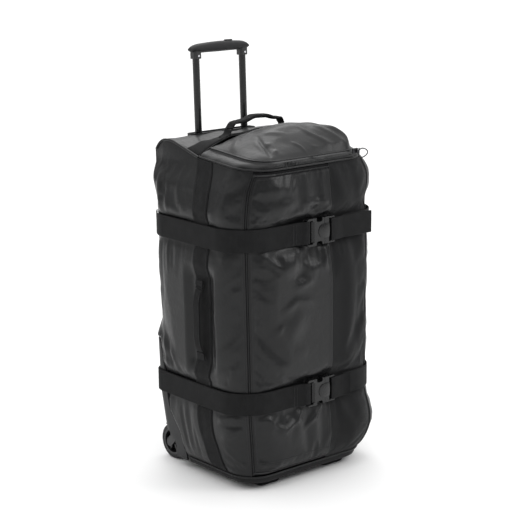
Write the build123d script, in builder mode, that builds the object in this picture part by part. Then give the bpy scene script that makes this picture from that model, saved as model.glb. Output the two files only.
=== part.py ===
from build123d import *

import math
import os

# A wheeled duffel bag that stands upright on two rear wheels and two front feet.
# Millimetres. X to the bag's right, -Y to its front, +Z up, origin on the floor below its middle.

# Body: a soft box whose plan is a rounded rectangle that grows and shrinks with height.
# Each row: height, half width, front depth, front corner radius, back corner radius.
SECTIONS = [
    (20, 176, 158, 60, 27),
    (30, 178, 160, 62, 27),
    (110, 190, 168, 70, 27),
    (180, 199, 172, 76, 27),
    (595, 205, 172, 78, 27),
    (660, 198, 172, 76, 20),
    (715, 176, 171, 70, 6),
    (765, 173, 171, 70, 4),
]
WALL = 3.5  # fabric with its lining
SKIN_LOW = 34.0  # lower edge of the fabric, above the base piping
BACK_FOOT_Y = 137.0  # back plane at BACK_FOOT_Z
BACK_FOOT_Z = 30.0
LEAN = 1.5  # degrees that the back and the telescopic handle lean rearwards
BACK_HALF = 172.0  # half width of the flat back between its two seams

# Front seams, turned this far from straight ahead about the corner's centre.
SEAM_ANGLE = 38.0
CORNER_X = 124.0
CORNER_Y = -96.0
ZIP_HALF = 3.5  # half of the gap that the main zipper fills
FLAP_EDGE_X = 45.0  # where the glossy flap is sewn to the matte panel
FLAP_LOW = 60.0
FLAP_HIGH = 696.0

# Gable: the outline of a side panel, seen from the side.
GABLE_CORNER = (156.0, 752.0)
GABLE_RIDGE = (100.0, 755.0)
GABLE_VALLEY = (0.0, 727.0)
GABLE_RADII = [36.0, 60.0, 40.0]
TOP_SLOPE = 5.2  # degrees that the top pocket's seat falls towards the front

PIPING_R = 2.3
WEB = 50.0  # webbing width
WEB_T = 2.2  # webbing thickness
BAND_Y = -40.0  # centre of the vertical side bands

UPPER_STRAP_Z = 567.0
LOWER_STRAP_Z = 205.0
STRAP_GROW = 4.0  # from the body's surface to the strap's inner face
STRAP_T = 2.5
STRAP_ANCHOR_X = 177.5  # where each strap is sewn into the back seam
STRAP_RIGHT_END = 84.0  # front end of the right strap, behind the tail
TAIL_Y = -181.6  # back face of the tail where it lies on the right strap

# Top pocket, on a plane that slopes with the top.
POCKET_HALF = 146.0
POCKET_FRONT = 166.0
ZIP_RISE = 12.0

# Telescopic handle.
TUBE_X = 67.0
TUBE_SET_IN = 18.0  # tube axis in front of the back plane
INNER_R, INNER_BORE_R = 8.0, 6.8
MIDDLE_R, MIDDLE_BORE_R = 9.9, 8.4
OUTER_R, OUTER_BORE_R = 11.6, 10.3
BEZEL_Z = 753.0
BUTTON_X = 27.0

# Wheels.
WHEEL_Y, WHEEL_R = 141.0, 41.0
WHEEL_OUT_X = 160.0
WHEEL_W = 28.0
HUB_R = 31.0
AXLE_R = 4.0
WELL_R = 46.0
ARM_ROOT = (93.0, 91.0)  # upper end of the arm over the wheel, seen from the side

# Side-release buckles: the female half's left edge, the joint line and the male half's right edge.
BUCKLE_LEFT, BUCKLE_MID, BUCKLE_RIGHT = -30.0, 20.0, 51.0
BUCKLE_H = 61.0
BUCKLE_BACK, BUCKLE_FRONT = -176.5, -188.5
SLOT_LEFT, SLOT_RIGHT = -25.4, -14.5
DOME_R = 76.0


def save(builder, label):
    builder.part.label = label
    export_step(builder.part, f"parts/{label}.step")


def back_y(z):
    return BACK_FOOT_Y + (z - BACK_FOOT_Z) * math.tan(math.radians(LEAN))


def half_width(z):
    """Half width of the body at a height, straight between the sections."""
    for low, high in zip(SECTIONS, SECTIONS[1:]):
        if z <= high[0]:
            share = (z - low[0]) / (high[0] - low[0])
            return low[1] + share * (high[1] - low[1])
    return SECTIONS[-1][1]


def seam_point(along, across, side=-1):
    """A point by the front seam: along it outwards, and across it towards the middle of the front."""
    turn = math.radians(SEAM_ANGLE)
    x = CORNER_X + along * math.sin(turn) - across * math.cos(turn)
    y = CORNER_Y - along * math.cos(turn) - across * math.sin(turn)
    return (side * x, y)


def strip(points, thickness):
    """Closed outline of a strip of even thickness to the left of a line of points."""
    inner = []
    for i, (u, v) in enumerate(points):
        before = points[max(i - 1, 0)]
        after = points[min(i + 1, len(points) - 1)]
        length = math.hypot(after[0] - before[0], after[1] - before[1])
        inner.append(
            (
                u - thickness * (after[1] - before[1]) / length,
                v + thickness * (after[0] - before[0]) / length,
            )
        )
    return list(points) + inner[::-1]


def body_block(grow=0.0):
    """The whole bag body as a solid, grown outwards by a distance."""
    with BuildPart() as block:
        for z, half, front, front_radius, back_radius in SECTIONS:
            with BuildSketch(Plane.XY.offset(z)) as plan:
                with Locations((0, (back_y(z) - front) / 2)):
                    Rectangle(2 * (half + grow), back_y(z) + front + 2 * grow)
                fillet(plan.vertices().group_by(Axis.Y)[0], front_radius + grow)
                fillet(plan.vertices().group_by(Axis.Y)[-1], back_radius + grow)
        loft(ruled=True)
    return block.part


def gable_block(drop=0.0):
    """Everything under the side panels' top edge, lowered by a distance."""
    corner, ridge, valley = ((y - drop, z - drop) for y, z in (GABLE_CORNER, GABLE_RIDGE, GABLE_VALLEY))
    front = (-300.0, valley[1] - 300 * math.tan(math.radians(TOP_SLOPE)))
    foot = (back_y(0) - drop, 0.0)
    with BuildPart() as block:
        with BuildSketch(Plane.YZ):
            with BuildLine():
                FilletPolyline(foot, corner, ridge, valley, front, radius=GABLE_RADII)
                Polyline(front, (-300, 0), foot)
            make_face()
        extrude(amount=400, both=True)
    return block.part


def housing_outline(gap=0.0):
    """Side view of a wheel housing: a foot ahead of the wheel that narrows to a fin up the back corner."""
    return [
        (60 - gap, 10),
        (61 - gap, 50),
        (66 - gap, 94),
        (79 - gap, 115 + gap),
        (93 - gap, 134 + gap),
        (97 - gap, 168),
        (103 - gap, 222),
        (111 - gap, 268),
        (118 - gap, 301 + gap),
        (230, 301 + gap),
        (230, 10),
    ]


os.makedirs("parts", exist_ok=True)

BODY = body_block()
LINING = body_block(-WALL)
UNDER_GABLE = gable_block(1.5)
pocket_plane = Plane(
    origin=(0, -2, GABLE_VALLEY[1]),
    x_dir=(1, 0, 0),
    z_dir=(0, -math.sin(math.radians(TOP_SLOPE)), math.cos(math.radians(TOP_SLOPE))),
)
tube_plane = Plane(
    origin=(0, back_y(0) - TUBE_SET_IN, 0),
    x_dir=(1, 0, 0),
    z_dir=(0, math.sin(math.radians(LEAN)), math.cos(math.radians(LEAN))),
)

# ---------------------------------------------------------------- body panels

with BuildPart() as left_side_panel:
    add(BODY)
    add(LINING, mode=Mode.SUBTRACT)
    add(UNDER_GABLE, mode=Mode.INTERSECT)
    with BuildSketch(Plane.XY.offset(SKIN_LOW)):
        with BuildLine():
            Polyline(
                seam_point(0, -ZIP_HALF),
                seam_point(200, -ZIP_HALF),
                (-400, seam_point(200, -ZIP_HALF)[1]),
                (-400, 300),
                (-BACK_HALF, 300),
                (-BACK_HALF, 60),
                (-CORNER_X, 60),
                seam_point(0, -ZIP_HALF),
            )
        make_face()
    extrude(amount=800, mode=Mode.INTERSECT)
    with BuildSketch(Plane.YZ):
        with BuildLine():
            Polyline(*housing_outline(1.0), close=True)
        make_face()
    extrude(amount=-400, mode=Mode.SUBTRACT)
save(left_side_panel, "left_side_panel")

with BuildPart() as right_side_panel:
    mirror(left_side_panel.part, about=Plane.YZ)
save(right_side_panel, "right_side_panel")

with BuildPart() as front_flap:
    add(BODY)
    add(LINING, mode=Mode.SUBTRACT)
    with BuildSketch(Plane.XY.offset(FLAP_LOW)):
        with BuildLine():
            Polyline(
                seam_point(0, ZIP_HALF),
                seam_point(200, ZIP_HALF),
                (FLAP_EDGE_X, seam_point(200, ZIP_HALF)[1]),
                (FLAP_EDGE_X, CORNER_Y),
                seam_point(0, ZIP_HALF),
            )
        make_face()
    extrude(amount=FLAP_HIGH - FLAP_LOW, mode=Mode.INTERSECT)
save(front_flap, "front_flap")

with BuildPart() as front_matte_panel:
    add(BODY)
    add(LINING, mode=Mode.SUBTRACT)
    add(UNDER_GABLE, mode=Mode.INTERSECT)
    with BuildSketch(Plane.XY.offset(SKIN_LOW)):
        with BuildLine():
            Polyline(
                seam_point(0, 0.5, side=1),
                seam_point(200, 0.5, side=1),
                (FLAP_EDGE_X + 1, seam_point(200, 0.5)[1]),
                (FLAP_EDGE_X + 1, CORNER_Y),
                seam_point(0, 0.5, side=1),
            )
        make_face()
    extrude(amount=800, mode=Mode.INTERSECT)
save(front_matte_panel, "front_matte_panel")

# The main zipper runs up the left front corner, then along the top and the bottom of the flap.
ZIP_TOP_RUN = (FLAP_HIGH + 1, 707.0)
ZIP_LOW_RUN = (36.0, FLAP_LOW - 1)
with BuildPart() as zip_region:
    with BuildSketch(Plane.XY.offset(ZIP_LOW_RUN[0])):
        Polygon(
            seam_point(0, 0.5 - ZIP_HALF),
            seam_point(200, 0.5 - ZIP_HALF),
            seam_point(200, ZIP_HALF - 0.5),
            seam_point(0, ZIP_HALF - 0.5),
            align=None,
        )
    extrude(amount=ZIP_TOP_RUN[1] - ZIP_LOW_RUN[0])
    for low, high in (ZIP_LOW_RUN, ZIP_TOP_RUN):
        with BuildSketch(Plane.XY.offset(low)):
            Polygon(
                seam_point(0, 0.5 - ZIP_HALF),
                seam_point(200, 0.5 - ZIP_HALF),
                (FLAP_EDGE_X, seam_point(200, 0)[1]),
                (FLAP_EDGE_X, CORNER_Y),
                align=None,
            )
        extrude(amount=high - low)

with BuildPart() as main_zipper:
    add(body_block(-0.6))
    add(body_block(-2.8), mode=Mode.SUBTRACT)
    add(zip_region.part, mode=Mode.INTERSECT)
save(main_zipper, "main_zipper")

with BuildPart() as back_panel:
    with BuildSketch(Plane.YZ):
        Polygon(
            (back_y(SKIN_LOW), SKIN_LOW),
            (back_y(704), 704),
            (back_y(704) - 4, 704),
            (back_y(SKIN_LOW) - 4, SKIN_LOW),
            align=None,
        )
    extrude(amount=BACK_HALF - 0.6, both=True)
    with BuildSketch(Plane.XZ):
        with Locations((-200, 150), (200, 150)):
            Rectangle(2 * (200 - 114.4), 2 * 152.5)
    extrude(amount=-300, mode=Mode.SUBTRACT)
save(back_panel, "back_panel")

# Crowned panel behind the top pocket: full height in the middle, low at the side seams.
CROWN = [(-168.8, 0.0), (-140, 0.5), (-70, 0.85), (0, 1.0), (70, 0.85), (140, 0.5), (168.8, 0.0)]


def shoulder_line(crown):
    """Upper face of the shoulder, from the front edge over the top and down the back."""
    return [
        (2, 725 + 46 * crown),
        (55, 740 + 17 * crown),
        (100, 752.5 + 3 * crown),
        (122, 751.5),
        (140, 748),
        (151, 738),
        (back_y(722) - 0.6, 722),
        (back_y(706), 706),
    ]


with BuildPart() as shoulder_panel:
    for x, crown in CROWN:
        with BuildSketch(Plane.YZ.offset(x)):
            Polygon(*strip(shoulder_line(crown), -4.0), align=None)
    loft(ruled=True)
    with BuildSketch(Plane.XY.offset(700)):
        with Locations((0, 131)):
            Rectangle(187, 37)
    extrude(amount=100, mode=Mode.SUBTRACT)
save(shoulder_panel, "shoulder_panel")

with BuildPart() as inner_back_board:
    with BuildSketch(Plane.YZ):
        Polygon(
            (back_y(40) - 35, 40),
            (back_y(725) - 35, 725),
            (back_y(725) - 38, 725),
            (back_y(40) - 38, 40),
            align=None,
        )
    extrude(amount=160, both=True)
    with BuildSketch(Plane.XZ):
        with Locations((-166, 80), (166, 80)):
            Rectangle(100, 110)
    extrude(amount=-300, mode=Mode.SUBTRACT)
save(inner_back_board, "inner_back_board")

# ---------------------------------------------------------------- base, feet and wheels

with BuildPart() as base_tray:
    with BuildSketch(Plane.XY.offset(14)) as plan:
        with Locations((0, -12.5)):
            Rectangle(346, 291)
        fillet(plan.vertices().group_by(Axis.Y)[0], 58)
        fillet(plan.vertices().group_by(Axis.Y)[-1], 20)
    extrude(amount=15)
    fillet(base_tray.faces().sort_by(Axis.Z)[0].edges(), 9)
    with BuildSketch(Plane.XY.offset(18)) as hollow:
        with Locations((0, -12.5)):
            Rectangle(336, 281)
        fillet(hollow.vertices().group_by(Axis.Y)[0], 53)
        fillet(hollow.vertices().group_by(Axis.Y)[-1], 15)
    extrude(amount=30, mode=Mode.SUBTRACT)
    with BuildSketch(Plane.XY):
        with Locations((-160, 115), (160, 115)):
            Rectangle(90, 116)
    extrude(amount=60, mode=Mode.SUBTRACT)
save(base_tray, "base_tray")

with BuildPart() as front_feet:
    with BuildSketch(Plane.XY):
        with Locations((-96, -116), (96, -116)):
            RectangleRounded(62, 40, 12)
    extrude(amount=13.8, taper=-4)
    chamfer(front_feet.faces().group_by(Axis.Z)[0].edges(), 2.5)
save(front_feet, "front_feet")


def open_loop(plane, half, front, back, radius):
    """A piping that runs along one side, round the front and back along the other side."""
    with BuildPart() as piping:
        with BuildLine(plane) as path:
            FilletPolyline((-half, back), (-half, -front), (half, -front), (half, back), radius=radius)
        with BuildSketch(Plane(origin=path.wire() @ 0, z_dir=path.wire() % 0)):
            Circle(PIPING_R)
        sweep()
    return piping


base_piping = open_loop(Plane.XY.offset(31.5), 178.5, 160.5, 54, 60)
save(base_piping, "base_piping")

with BuildPart() as left_wheel_housing:
    add(body_block(1.5))
    add(LINING, mode=Mode.SUBTRACT)
    with BuildSketch(Plane.YZ.offset(-115)):
        Polygon(*housing_outline(), align=None)
    extrude(amount=-200, mode=Mode.INTERSECT)
    with BuildSketch(Plane.YZ.offset(-126)):
        with Locations((WHEEL_Y, WHEEL_R)):
            Circle(WELL_R)
            with Locations((60, -20)):
                Rectangle(120, 2 * WELL_R + 8)
    extrude(amount=-200, mode=Mode.SUBTRACT)
    with BuildSketch(Plane.YZ.offset(-122)):
        with BuildLine():
            Polyline((64, 24), (72, 84), (88, 108), (112, 118), (138, 118), (136, 24), (64, 24))
        make_face()
    extrude(amount=-4)
    with BuildSketch(Plane.YZ.offset(-126)):
        with Locations((WHEEL_Y, WHEEL_R)):
            Circle(WELL_R + 3)
            Circle(WELL_R, mode=Mode.SUBTRACT)
        with Locations((WHEEL_Y + 50, 50)):
            Rectangle(100, 200, mode=Mode.SUBTRACT)
        with Locations((WHEEL_Y, -10)):
            Rectangle(200, 66, mode=Mode.SUBTRACT)
    extrude(amount=-50)
    with BuildSketch(Plane.YZ.offset(-115)):
        with Locations((WHEEL_Y, WHEEL_R)):
            Circle(AXLE_R)
    extrude(amount=-30, mode=Mode.SUBTRACT)
    with BuildSketch(Plane.YZ.offset(-WHEEL_OUT_X - 2)):
        with BuildLine():
            Line(ARM_ROOT, (WHEEL_Y, WHEEL_R))
        trace(line_width=21)
        with Locations(ARM_ROOT):
            Circle(10.5)
    extrude(amount=-6.5, mode=Mode.SUBTRACT)
save(left_wheel_housing, "left_wheel_housing")

with BuildPart() as right_wheel_housing:
    mirror(left_wheel_housing.part, about=Plane.YZ)
save(right_wheel_housing, "right_wheel_housing")

# The arm that carries the outer end of the axle, from the housing ahead of the wheel.
with BuildPart() as left_axle_arm:
    with BuildSketch(Plane.YZ.offset(-WHEEL_OUT_X - 2.5)):
        with BuildLine():
            Line(ARM_ROOT, (WHEEL_Y, WHEEL_R))
        trace(line_width=20)
        with Locations(ARM_ROOT, (WHEEL_Y, WHEEL_R)):
            Circle(10)
    extrude(amount=-5.5)
    with BuildSketch(Plane.YZ.offset(-WHEEL_OUT_X)):
        with Locations((WHEEL_Y, WHEEL_R)):
            Circle(AXLE_R)
    extrude(amount=-5, mode=Mode.SUBTRACT)
save(left_axle_arm, "left_axle_arm")

with BuildPart() as right_axle_arm:
    mirror(left_axle_arm.part, about=Plane.YZ)
save(right_axle_arm, "right_axle_arm")

with BuildPart() as wheel_axles:
    for side in (-1, 1):
        with BuildSketch(Plane.YZ.offset(side * 117)):
            with Locations((WHEEL_Y, WHEEL_R)):
                Circle(AXLE_R - 0.02)
        extrude(amount=side * (WHEEL_OUT_X + 4.5 - 117))
save(wheel_axles, "wheel_axles")


def wheel_parts(side):
    """One wheel: a spoked hub on the axle and a soft tyre round it."""
    start = side * (WHEEL_OUT_X - WHEEL_W)
    width = side * WHEEL_W
    with BuildPart() as hub:
        with BuildSketch(Plane.YZ.offset(start)):
            with Locations((WHEEL_Y, WHEEL_R)):
                Circle(HUB_R)
                Circle(HUB_R - 4.5, mode=Mode.SUBTRACT)
        extrude(amount=width)
        with BuildSketch(Plane.YZ.offset(start)):
            with Locations((WHEEL_Y, WHEEL_R)):
                Circle(9)
        extrude(amount=width)
        with BuildSketch(Plane.YZ.offset(start + side * 5)):
            with Locations((WHEEL_Y, WHEEL_R)):
                with PolarLocations(17.5, 6):
                    Rectangle(20, 5)
        extrude(amount=width - side * 9)
        with BuildSketch(Plane.YZ.offset(start + side * (WHEEL_W / 2 - 1.5))):
            with Locations((WHEEL_Y, WHEEL_R)):
                Circle(HUB_R - 2)
        extrude(amount=side * 3)
        with BuildSketch(Plane.YZ.offset(start)):
            with Locations((WHEEL_Y, WHEEL_R)):
                Circle(AXLE_R + 0.06)
        extrude(amount=width, mode=Mode.SUBTRACT)
    with BuildPart() as tyre:
        with BuildSketch(Plane.YZ.offset(start)):
            with Locations((WHEEL_Y, WHEEL_R)):
                Circle(WHEEL_R)
                Circle(HUB_R + 0.05, mode=Mode.SUBTRACT)
        extrude(amount=width)
        fillet(tyre.edges().filter_by(GeomType.CIRCLE).sort_by(SortBy.RADIUS)[-2:], 5)
    return hub, tyre


left_wheel_hub, left_tyre = wheel_parts(-1)
right_wheel_hub, right_tyre = wheel_parts(1)
save(left_wheel_hub, "left_wheel_hub")
save(left_tyre, "left_tyre")
save(right_wheel_hub, "right_wheel_hub")
save(right_tyre, "right_tyre")

with BuildPart() as kick_plate:
    with BuildSketch(Plane.YZ):
        Polygon(
            (back_y(20) + 0.4, 20),
            (back_y(116) + 0.4, 116),
            (back_y(116) + 3.4, 113),
            (back_y(20) + 5.4, 24),
            align=None,
        )
    extrude(amount=113, both=True)
save(kick_plate, "kick_plate")

# ---------------------------------------------------------------- top pocket

with BuildPart() as top_seat:
    with BuildSketch(Plane.XY):
        with Locations((0, -202)):
            Rectangle(600, 400)
    extrude(amount=1000)


def pocket_block(low, high, low_shape, high_shape):
    """Solid between two rounded rectangles on the sloping plane: each is half width, front and radius."""
    with BuildPart() as block:
        for height, (half, front, radius) in ((low, low_shape), (high, high_shape)):
            with BuildSketch(pocket_plane.offset(height)) as plan:
                with Locations((0, (60 - front) / 2)):
                    Rectangle(2 * half, front + 60)
                fillet(plan.vertices().group_by(Axis.Y)[0], radius)
        loft(ruled=True)
    return block.part


with BuildPart() as pocket_gusset:
    add(pocket_block(2.5, ZIP_RISE, (171, 168.6, 68), (POCKET_HALF + 2, POCKET_FRONT + 1, 50)))
    add(
        pocket_block(-0.5, ZIP_RISE - 2.5, (169.5, 167.1, 66.5), (POCKET_HALF - 2, POCKET_FRONT - 2, 47)),
        mode=Mode.SUBTRACT,
    )
    with BuildSketch(pocket_plane) as mouth:
        with Locations((0, (60 - POCKET_FRONT + 4) / 2)):
            Rectangle(2 * (POCKET_HALF - 6), POCKET_FRONT - 4 + 60)
        fillet(mouth.vertices().group_by(Axis.Y)[0], 44)
    extrude(amount=40, mode=Mode.SUBTRACT)
    add(top_seat.part, mode=Mode.INTERSECT)
save(pocket_gusset, "pocket_gusset")

with BuildPart() as pocket_zipper:
    with BuildSketch(pocket_plane.offset(ZIP_RISE + 0.2)) as ring:
        with Locations((0, (60 - POCKET_FRONT - 1) / 2)):
            Rectangle(2 * POCKET_HALF + 2, POCKET_FRONT + 1 + 60)
        fillet(ring.vertices().group_by(Axis.Y)[0], 49)
    extrude(amount=2.2)
    with BuildSketch(pocket_plane.offset(ZIP_RISE)) as ring_hole:
        with Locations((0, (60 - POCKET_FRONT + 4) / 2)):
            Rectangle(2 * POCKET_HALF - 8, POCKET_FRONT - 4 + 60)
        fillet(ring_hole.vertices().group_by(Axis.Y)[0], 44)
    extrude(amount=5, mode=Mode.SUBTRACT)
    add(top_seat.part, mode=Mode.INTERSECT)
save(pocket_zipper, "pocket_zipper")

# Lid: cross sections from side to side, each from the back edge to the zipper at the front.
# Each row: distance from the middle, back edge height, heights of the crown, front edge.
LID_ROWS = [
    (0, 776, 789, 787, 768, 746, -166),
    (50, 771, 784, 782, 764, 744, -166),
    (95, 761, 771, 768, 753, 738, -165),
    (126, 750, 755, 751, 742, 733, -153),
    (145, 745.5, 742.6, 739.8, 737.5, 735.8, -121),
]
LID_STATIONS = [0.26, 0.52, 0.74, 0.9]


def lid_line(row):
    """Upper face of the lid at one distance from the middle, from the front edge to the back edge."""
    _, back_z, crown_a, crown_b, crown_c, crown_d, front = row
    base = GABLE_VALLEY[1] + ZIP_RISE + 6.5 + front * math.tan(math.radians(TOP_SLOPE))
    heights = (crown_a, crown_b, crown_c, crown_d)
    middle = [(-4 + share * (front + 4), z) for share, z in zip(LID_STATIONS, heights)]
    return [(front, base)] + middle[::-1] + [(-4, back_z)]


with BuildPart() as pocket_lid:
    for sign, rows in ((-1, LID_ROWS[:0:-1]), (1, LID_ROWS)):
        for row in rows:
            with BuildSketch(Plane.YZ.offset(sign * row[0])):
                Polygon(*strip(lid_line(row), -3.0), align=None)
    loft(ruled=True)
save(pocket_lid, "pocket_lid")

with BuildPart() as pocket_divider:
    with BuildSketch(pocket_plane.offset(-7)) as floor:
        with Locations((0, (0 - 160) / 2)):
            Rectangle(2 * 162, 160)
        fillet(floor.vertices().group_by(Axis.Y)[0], 60)
    extrude(amount=3)
    with BuildSketch(Plane.XZ.offset(3)):
        Polygon(
            *[(x * 0.87, 722.5 + 45 * crown) for x, crown in CROWN],
            (146, 718),
            (-146, 718),
            align=None,
        )
    extrude(amount=-2.5)
save(pocket_divider, "pocket_divider")

top_piping = open_loop(pocket_plane.offset(1.3), 174.2, 171.4, -2, 70)
save(top_piping, "top_piping")

with BuildPart() as side_piping:
    for side in (-1, 1):
        with BuildLine(Plane.YZ.offset(side * 174.2)) as path:
            FilletPolyline(
                (back_y(304) + 2.9, 304),
                (GABLE_CORNER[0] + 3.3, GABLE_CORNER[1] + 3.3),
                (GABLE_RIDGE[0], GABLE_RIDGE[1] + 3.4),
                (1.5, GABLE_VALLEY[1] + 2.6),
                radius=[39, 60],
            )
        with BuildSketch(Plane(origin=path.wire() @ 0, z_dir=path.wire() % 0)):
            Circle(PIPING_R)
        sweep(path=path.wire())
save(side_piping, "side_piping")

with BuildPart() as pocket_slider:
    with BuildSketch(Plane.XY.offset(723)):
        with Locations((124, -173.3)):
            RectangleRounded(16, 5, 2)
    extrude(amount=11)
    with BuildSketch(Plane.XY.offset(726)):
        with Locations((127, -178)):
            Rectangle(6, 6)
    extrude(amount=5)
    with BuildSketch(Plane.XY.offset(722)):
        with Locations((130.5, -179.6)):
            Circle(1.4)
    extrude(amount=13)
save(pocket_slider, "pocket_slider")

with BuildPart() as pocket_pull:
    with BuildSketch(Plane.XY.offset(723)):
        with Locations((130.5, -179.6)):
            Circle(3.2)
            Circle(1.7, mode=Mode.SUBTRACT)
    extrude(amount=2.5)
    with BuildSketch(Plane.XY.offset(731.5)):
        with Locations((130.5, -179.6)):
            Circle(3.2)
            Circle(1.7, mode=Mode.SUBTRACT)
    extrude(amount=2.5)
    with BuildSketch(Plane.XZ.offset(179.6)):
        with BuildLine():
            Polyline((133.0, 723), (133.0, 734), (139, 733), (158, 722), (152, 712), (135, 721), (133.0, 723))
        make_face()
    extrude(amount=1.3, both=True)
save(pocket_pull, "pocket_pull")

# ---------------------------------------------------------------- webbing and handles


def surface_line(z_list, grow):
    """Points on the left side, a distance out from the body."""
    return [(-(half_width(z) + grow), z) for z in z_list]


with BuildPart() as left_side_band:
    with BuildSketch(Plane.XZ.offset(-(BAND_Y - WEB / 2))):
        Polygon(*strip(surface_line([36, 110, 180, 595, 660, 714], 0.7), WEB_T), align=None)
    extrude(amount=-WEB)
save(left_side_band, "left_side_band")

with BuildPart() as right_side_band:
    mirror(left_side_band.part, about=Plane.YZ)
save(right_side_band, "right_side_band")

with BuildPart() as top_band:
    for x, crown in CROWN:
        (y_a, z_a), (y_b, z_b) = shoulder_line(crown)[:2]
        slope = (z_b - z_a) / (y_b - y_a)
        low = z_a + 0.5
        line = [(5, low + slope * (5 - y_a)), (50, low + slope * (50 - y_a))]
        with BuildSketch(Plane.YZ.offset(x)):
            Polygon(*line, (50, line[1][1] + WEB_T), (5, line[0][1] + WEB_T), align=None)
    loft(ruled=True)
save(top_band, "top_band")

HANDLE_Y = 18.0
HANDLE_W = 24.0
with BuildPart() as top_handle:
    with BuildSketch(Plane.XZ.offset(-(HANDLE_Y - HANDLE_W / 2))):
        Polygon(
            *strip(
                [(-76, 779), (-64, 789), (-40, 799), (-12, 803), (12, 803), (40, 799), (64, 789), (76, 779)],
                -3.2,
            ),
            align=None,
        )
    extrude(amount=-HANDLE_W)
save(top_handle, "top_handle")

with BuildPart() as top_handle_ends:
    for side in (-1, 1):
        with BuildSketch(Plane.XZ.offset(-(HANDLE_Y - HANDLE_W / 2))):
            Polygon(
                *strip([(side * 84, 766.5), (side * 80, 772), (side * 76.5, 778)], -side * 3.2),
                align=None,
            )
        extrude(amount=-HANDLE_W)
save(top_handle_ends, "top_handle_ends")

SIDE_HANDLE_LOW, SIDE_HANDLE_HIGH = 304.0, 452.0
SIDE_HANDLE_X = 214.0
SIDE_HANDLE_W = 24.0
SIDE_HANDLE_T = 3.2
with BuildPart() as left_side_handle:
    with BuildSketch(Plane.XZ.offset(-(BAND_Y - SIDE_HANDLE_W / 2))):
        Polygon(
            *strip(
                [
                    (-SIDE_HANDLE_X, SIDE_HANDLE_LOW + 4),
                    (-SIDE_HANDLE_X - 6, SIDE_HANDLE_LOW + 16),
                    (-SIDE_HANDLE_X - 9, SIDE_HANDLE_LOW + 45),
                    (-SIDE_HANDLE_X - 9, SIDE_HANDLE_HIGH - 45),
                    (-SIDE_HANDLE_X - 6, SIDE_HANDLE_HIGH - 16),
                    (-SIDE_HANDLE_X, SIDE_HANDLE_HIGH - 4),
                ],
                -SIDE_HANDLE_T,
            ),
            align=None,
        )
    extrude(amount=-SIDE_HANDLE_W)
save(left_side_handle, "left_side_handle")

with BuildPart() as right_side_handle:
    mirror(left_side_handle.part, about=Plane.YZ)
save(right_side_handle, "right_side_handle")

with BuildPart() as side_handle_ends:
    for side in (-1, 1):
        for z, step in ((SIDE_HANDLE_LOW, -1), (SIDE_HANDLE_HIGH, 1)):
            root = half_width(z) + 0.7 + WEB_T + 0.2
            with BuildSketch(Plane.XZ.offset(-(BAND_Y - SIDE_HANDLE_W / 2))):
                Polygon(
                    (side * root, z + step * 14),
                    (side * (root + 2.4), z + step * 14),
                    (side * (SIDE_HANDLE_X - 0.4), z - step * 3),
                    (side * (SIDE_HANDLE_X - 4.0), z - step * 3),
                    (side * root, z + step * 4),
                    align=None,
                )
            extrude(amount=-SIDE_HANDLE_W)
save(side_handle_ends, "side_handle_ends")


def strap_ring(z, left):
    """Compression webbing round one side, from the back seam to the front."""
    half = half_width(z) + STRAP_GROW
    front, back = 172 + STRAP_GROW, back_y(z) + STRAP_GROW
    with BuildPart() as ring:
        with BuildSketch(Plane.XY.offset(z - WEB / 2)) as outer:
            with Locations((0, (back - front) / 2)):
                Rectangle(2 * (half + STRAP_T), back + front + 2 * STRAP_T)
            fillet(outer.vertices().group_by(Axis.Y)[0], 70 + STRAP_T)
            fillet(outer.vertices().group_by(Axis.Y)[-1], 30 + STRAP_T)
        extrude(amount=WEB)
        with BuildSketch(Plane.XY.offset(z - WEB / 2)) as inner:
            with Locations((0, (back - front) / 2)):
                Rectangle(2 * half, back + front)
            fillet(inner.vertices().group_by(Axis.Y)[0], 70)
            fillet(inner.vertices().group_by(Axis.Y)[-1], 30)
        extrude(amount=WEB, mode=Mode.SUBTRACT)
        with BuildSketch(Plane.XY.offset(z - WEB / 2)):
            if left:
                Polygon(
                    (-STRAP_ANCHOR_X, 300),
                    (-STRAP_ANCHOR_X, 0),
                    (BUCKLE_LEFT - 3.4, 0),
                    (BUCKLE_LEFT - 3.4, -300),
                    (-400, -300),
                    (-400, 300),
                    align=None,
                )
            else:
                Polygon(
                    (STRAP_ANCHOR_X, 300),
                    (STRAP_ANCHOR_X, 0),
                    (STRAP_RIGHT_END, 0),
                    (STRAP_RIGHT_END, -300),
                    (400, -300),
                    (400, 300),
                    align=None,
                )
        extrude(amount=WEB, mode=Mode.INTERSECT)
    return ring


def bar_loop(builder_plane, x_low, x_high):
    """The webbing's turn round a buckle bar, as a flat ring seen from above."""
    with BuildPart() as loop:
        with BuildSketch(builder_plane):
            with Locations(((x_low + x_high) / 2, -182.5)):
                RectangleRounded(x_high - x_low, 11.6, 3.4)
                RectangleRounded(x_high - x_low - 2 * WEB_T, 11.6 - 2 * WEB_T, 1.2, mode=Mode.SUBTRACT)
        extrude(amount=WEB)
    return loop.part


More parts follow.
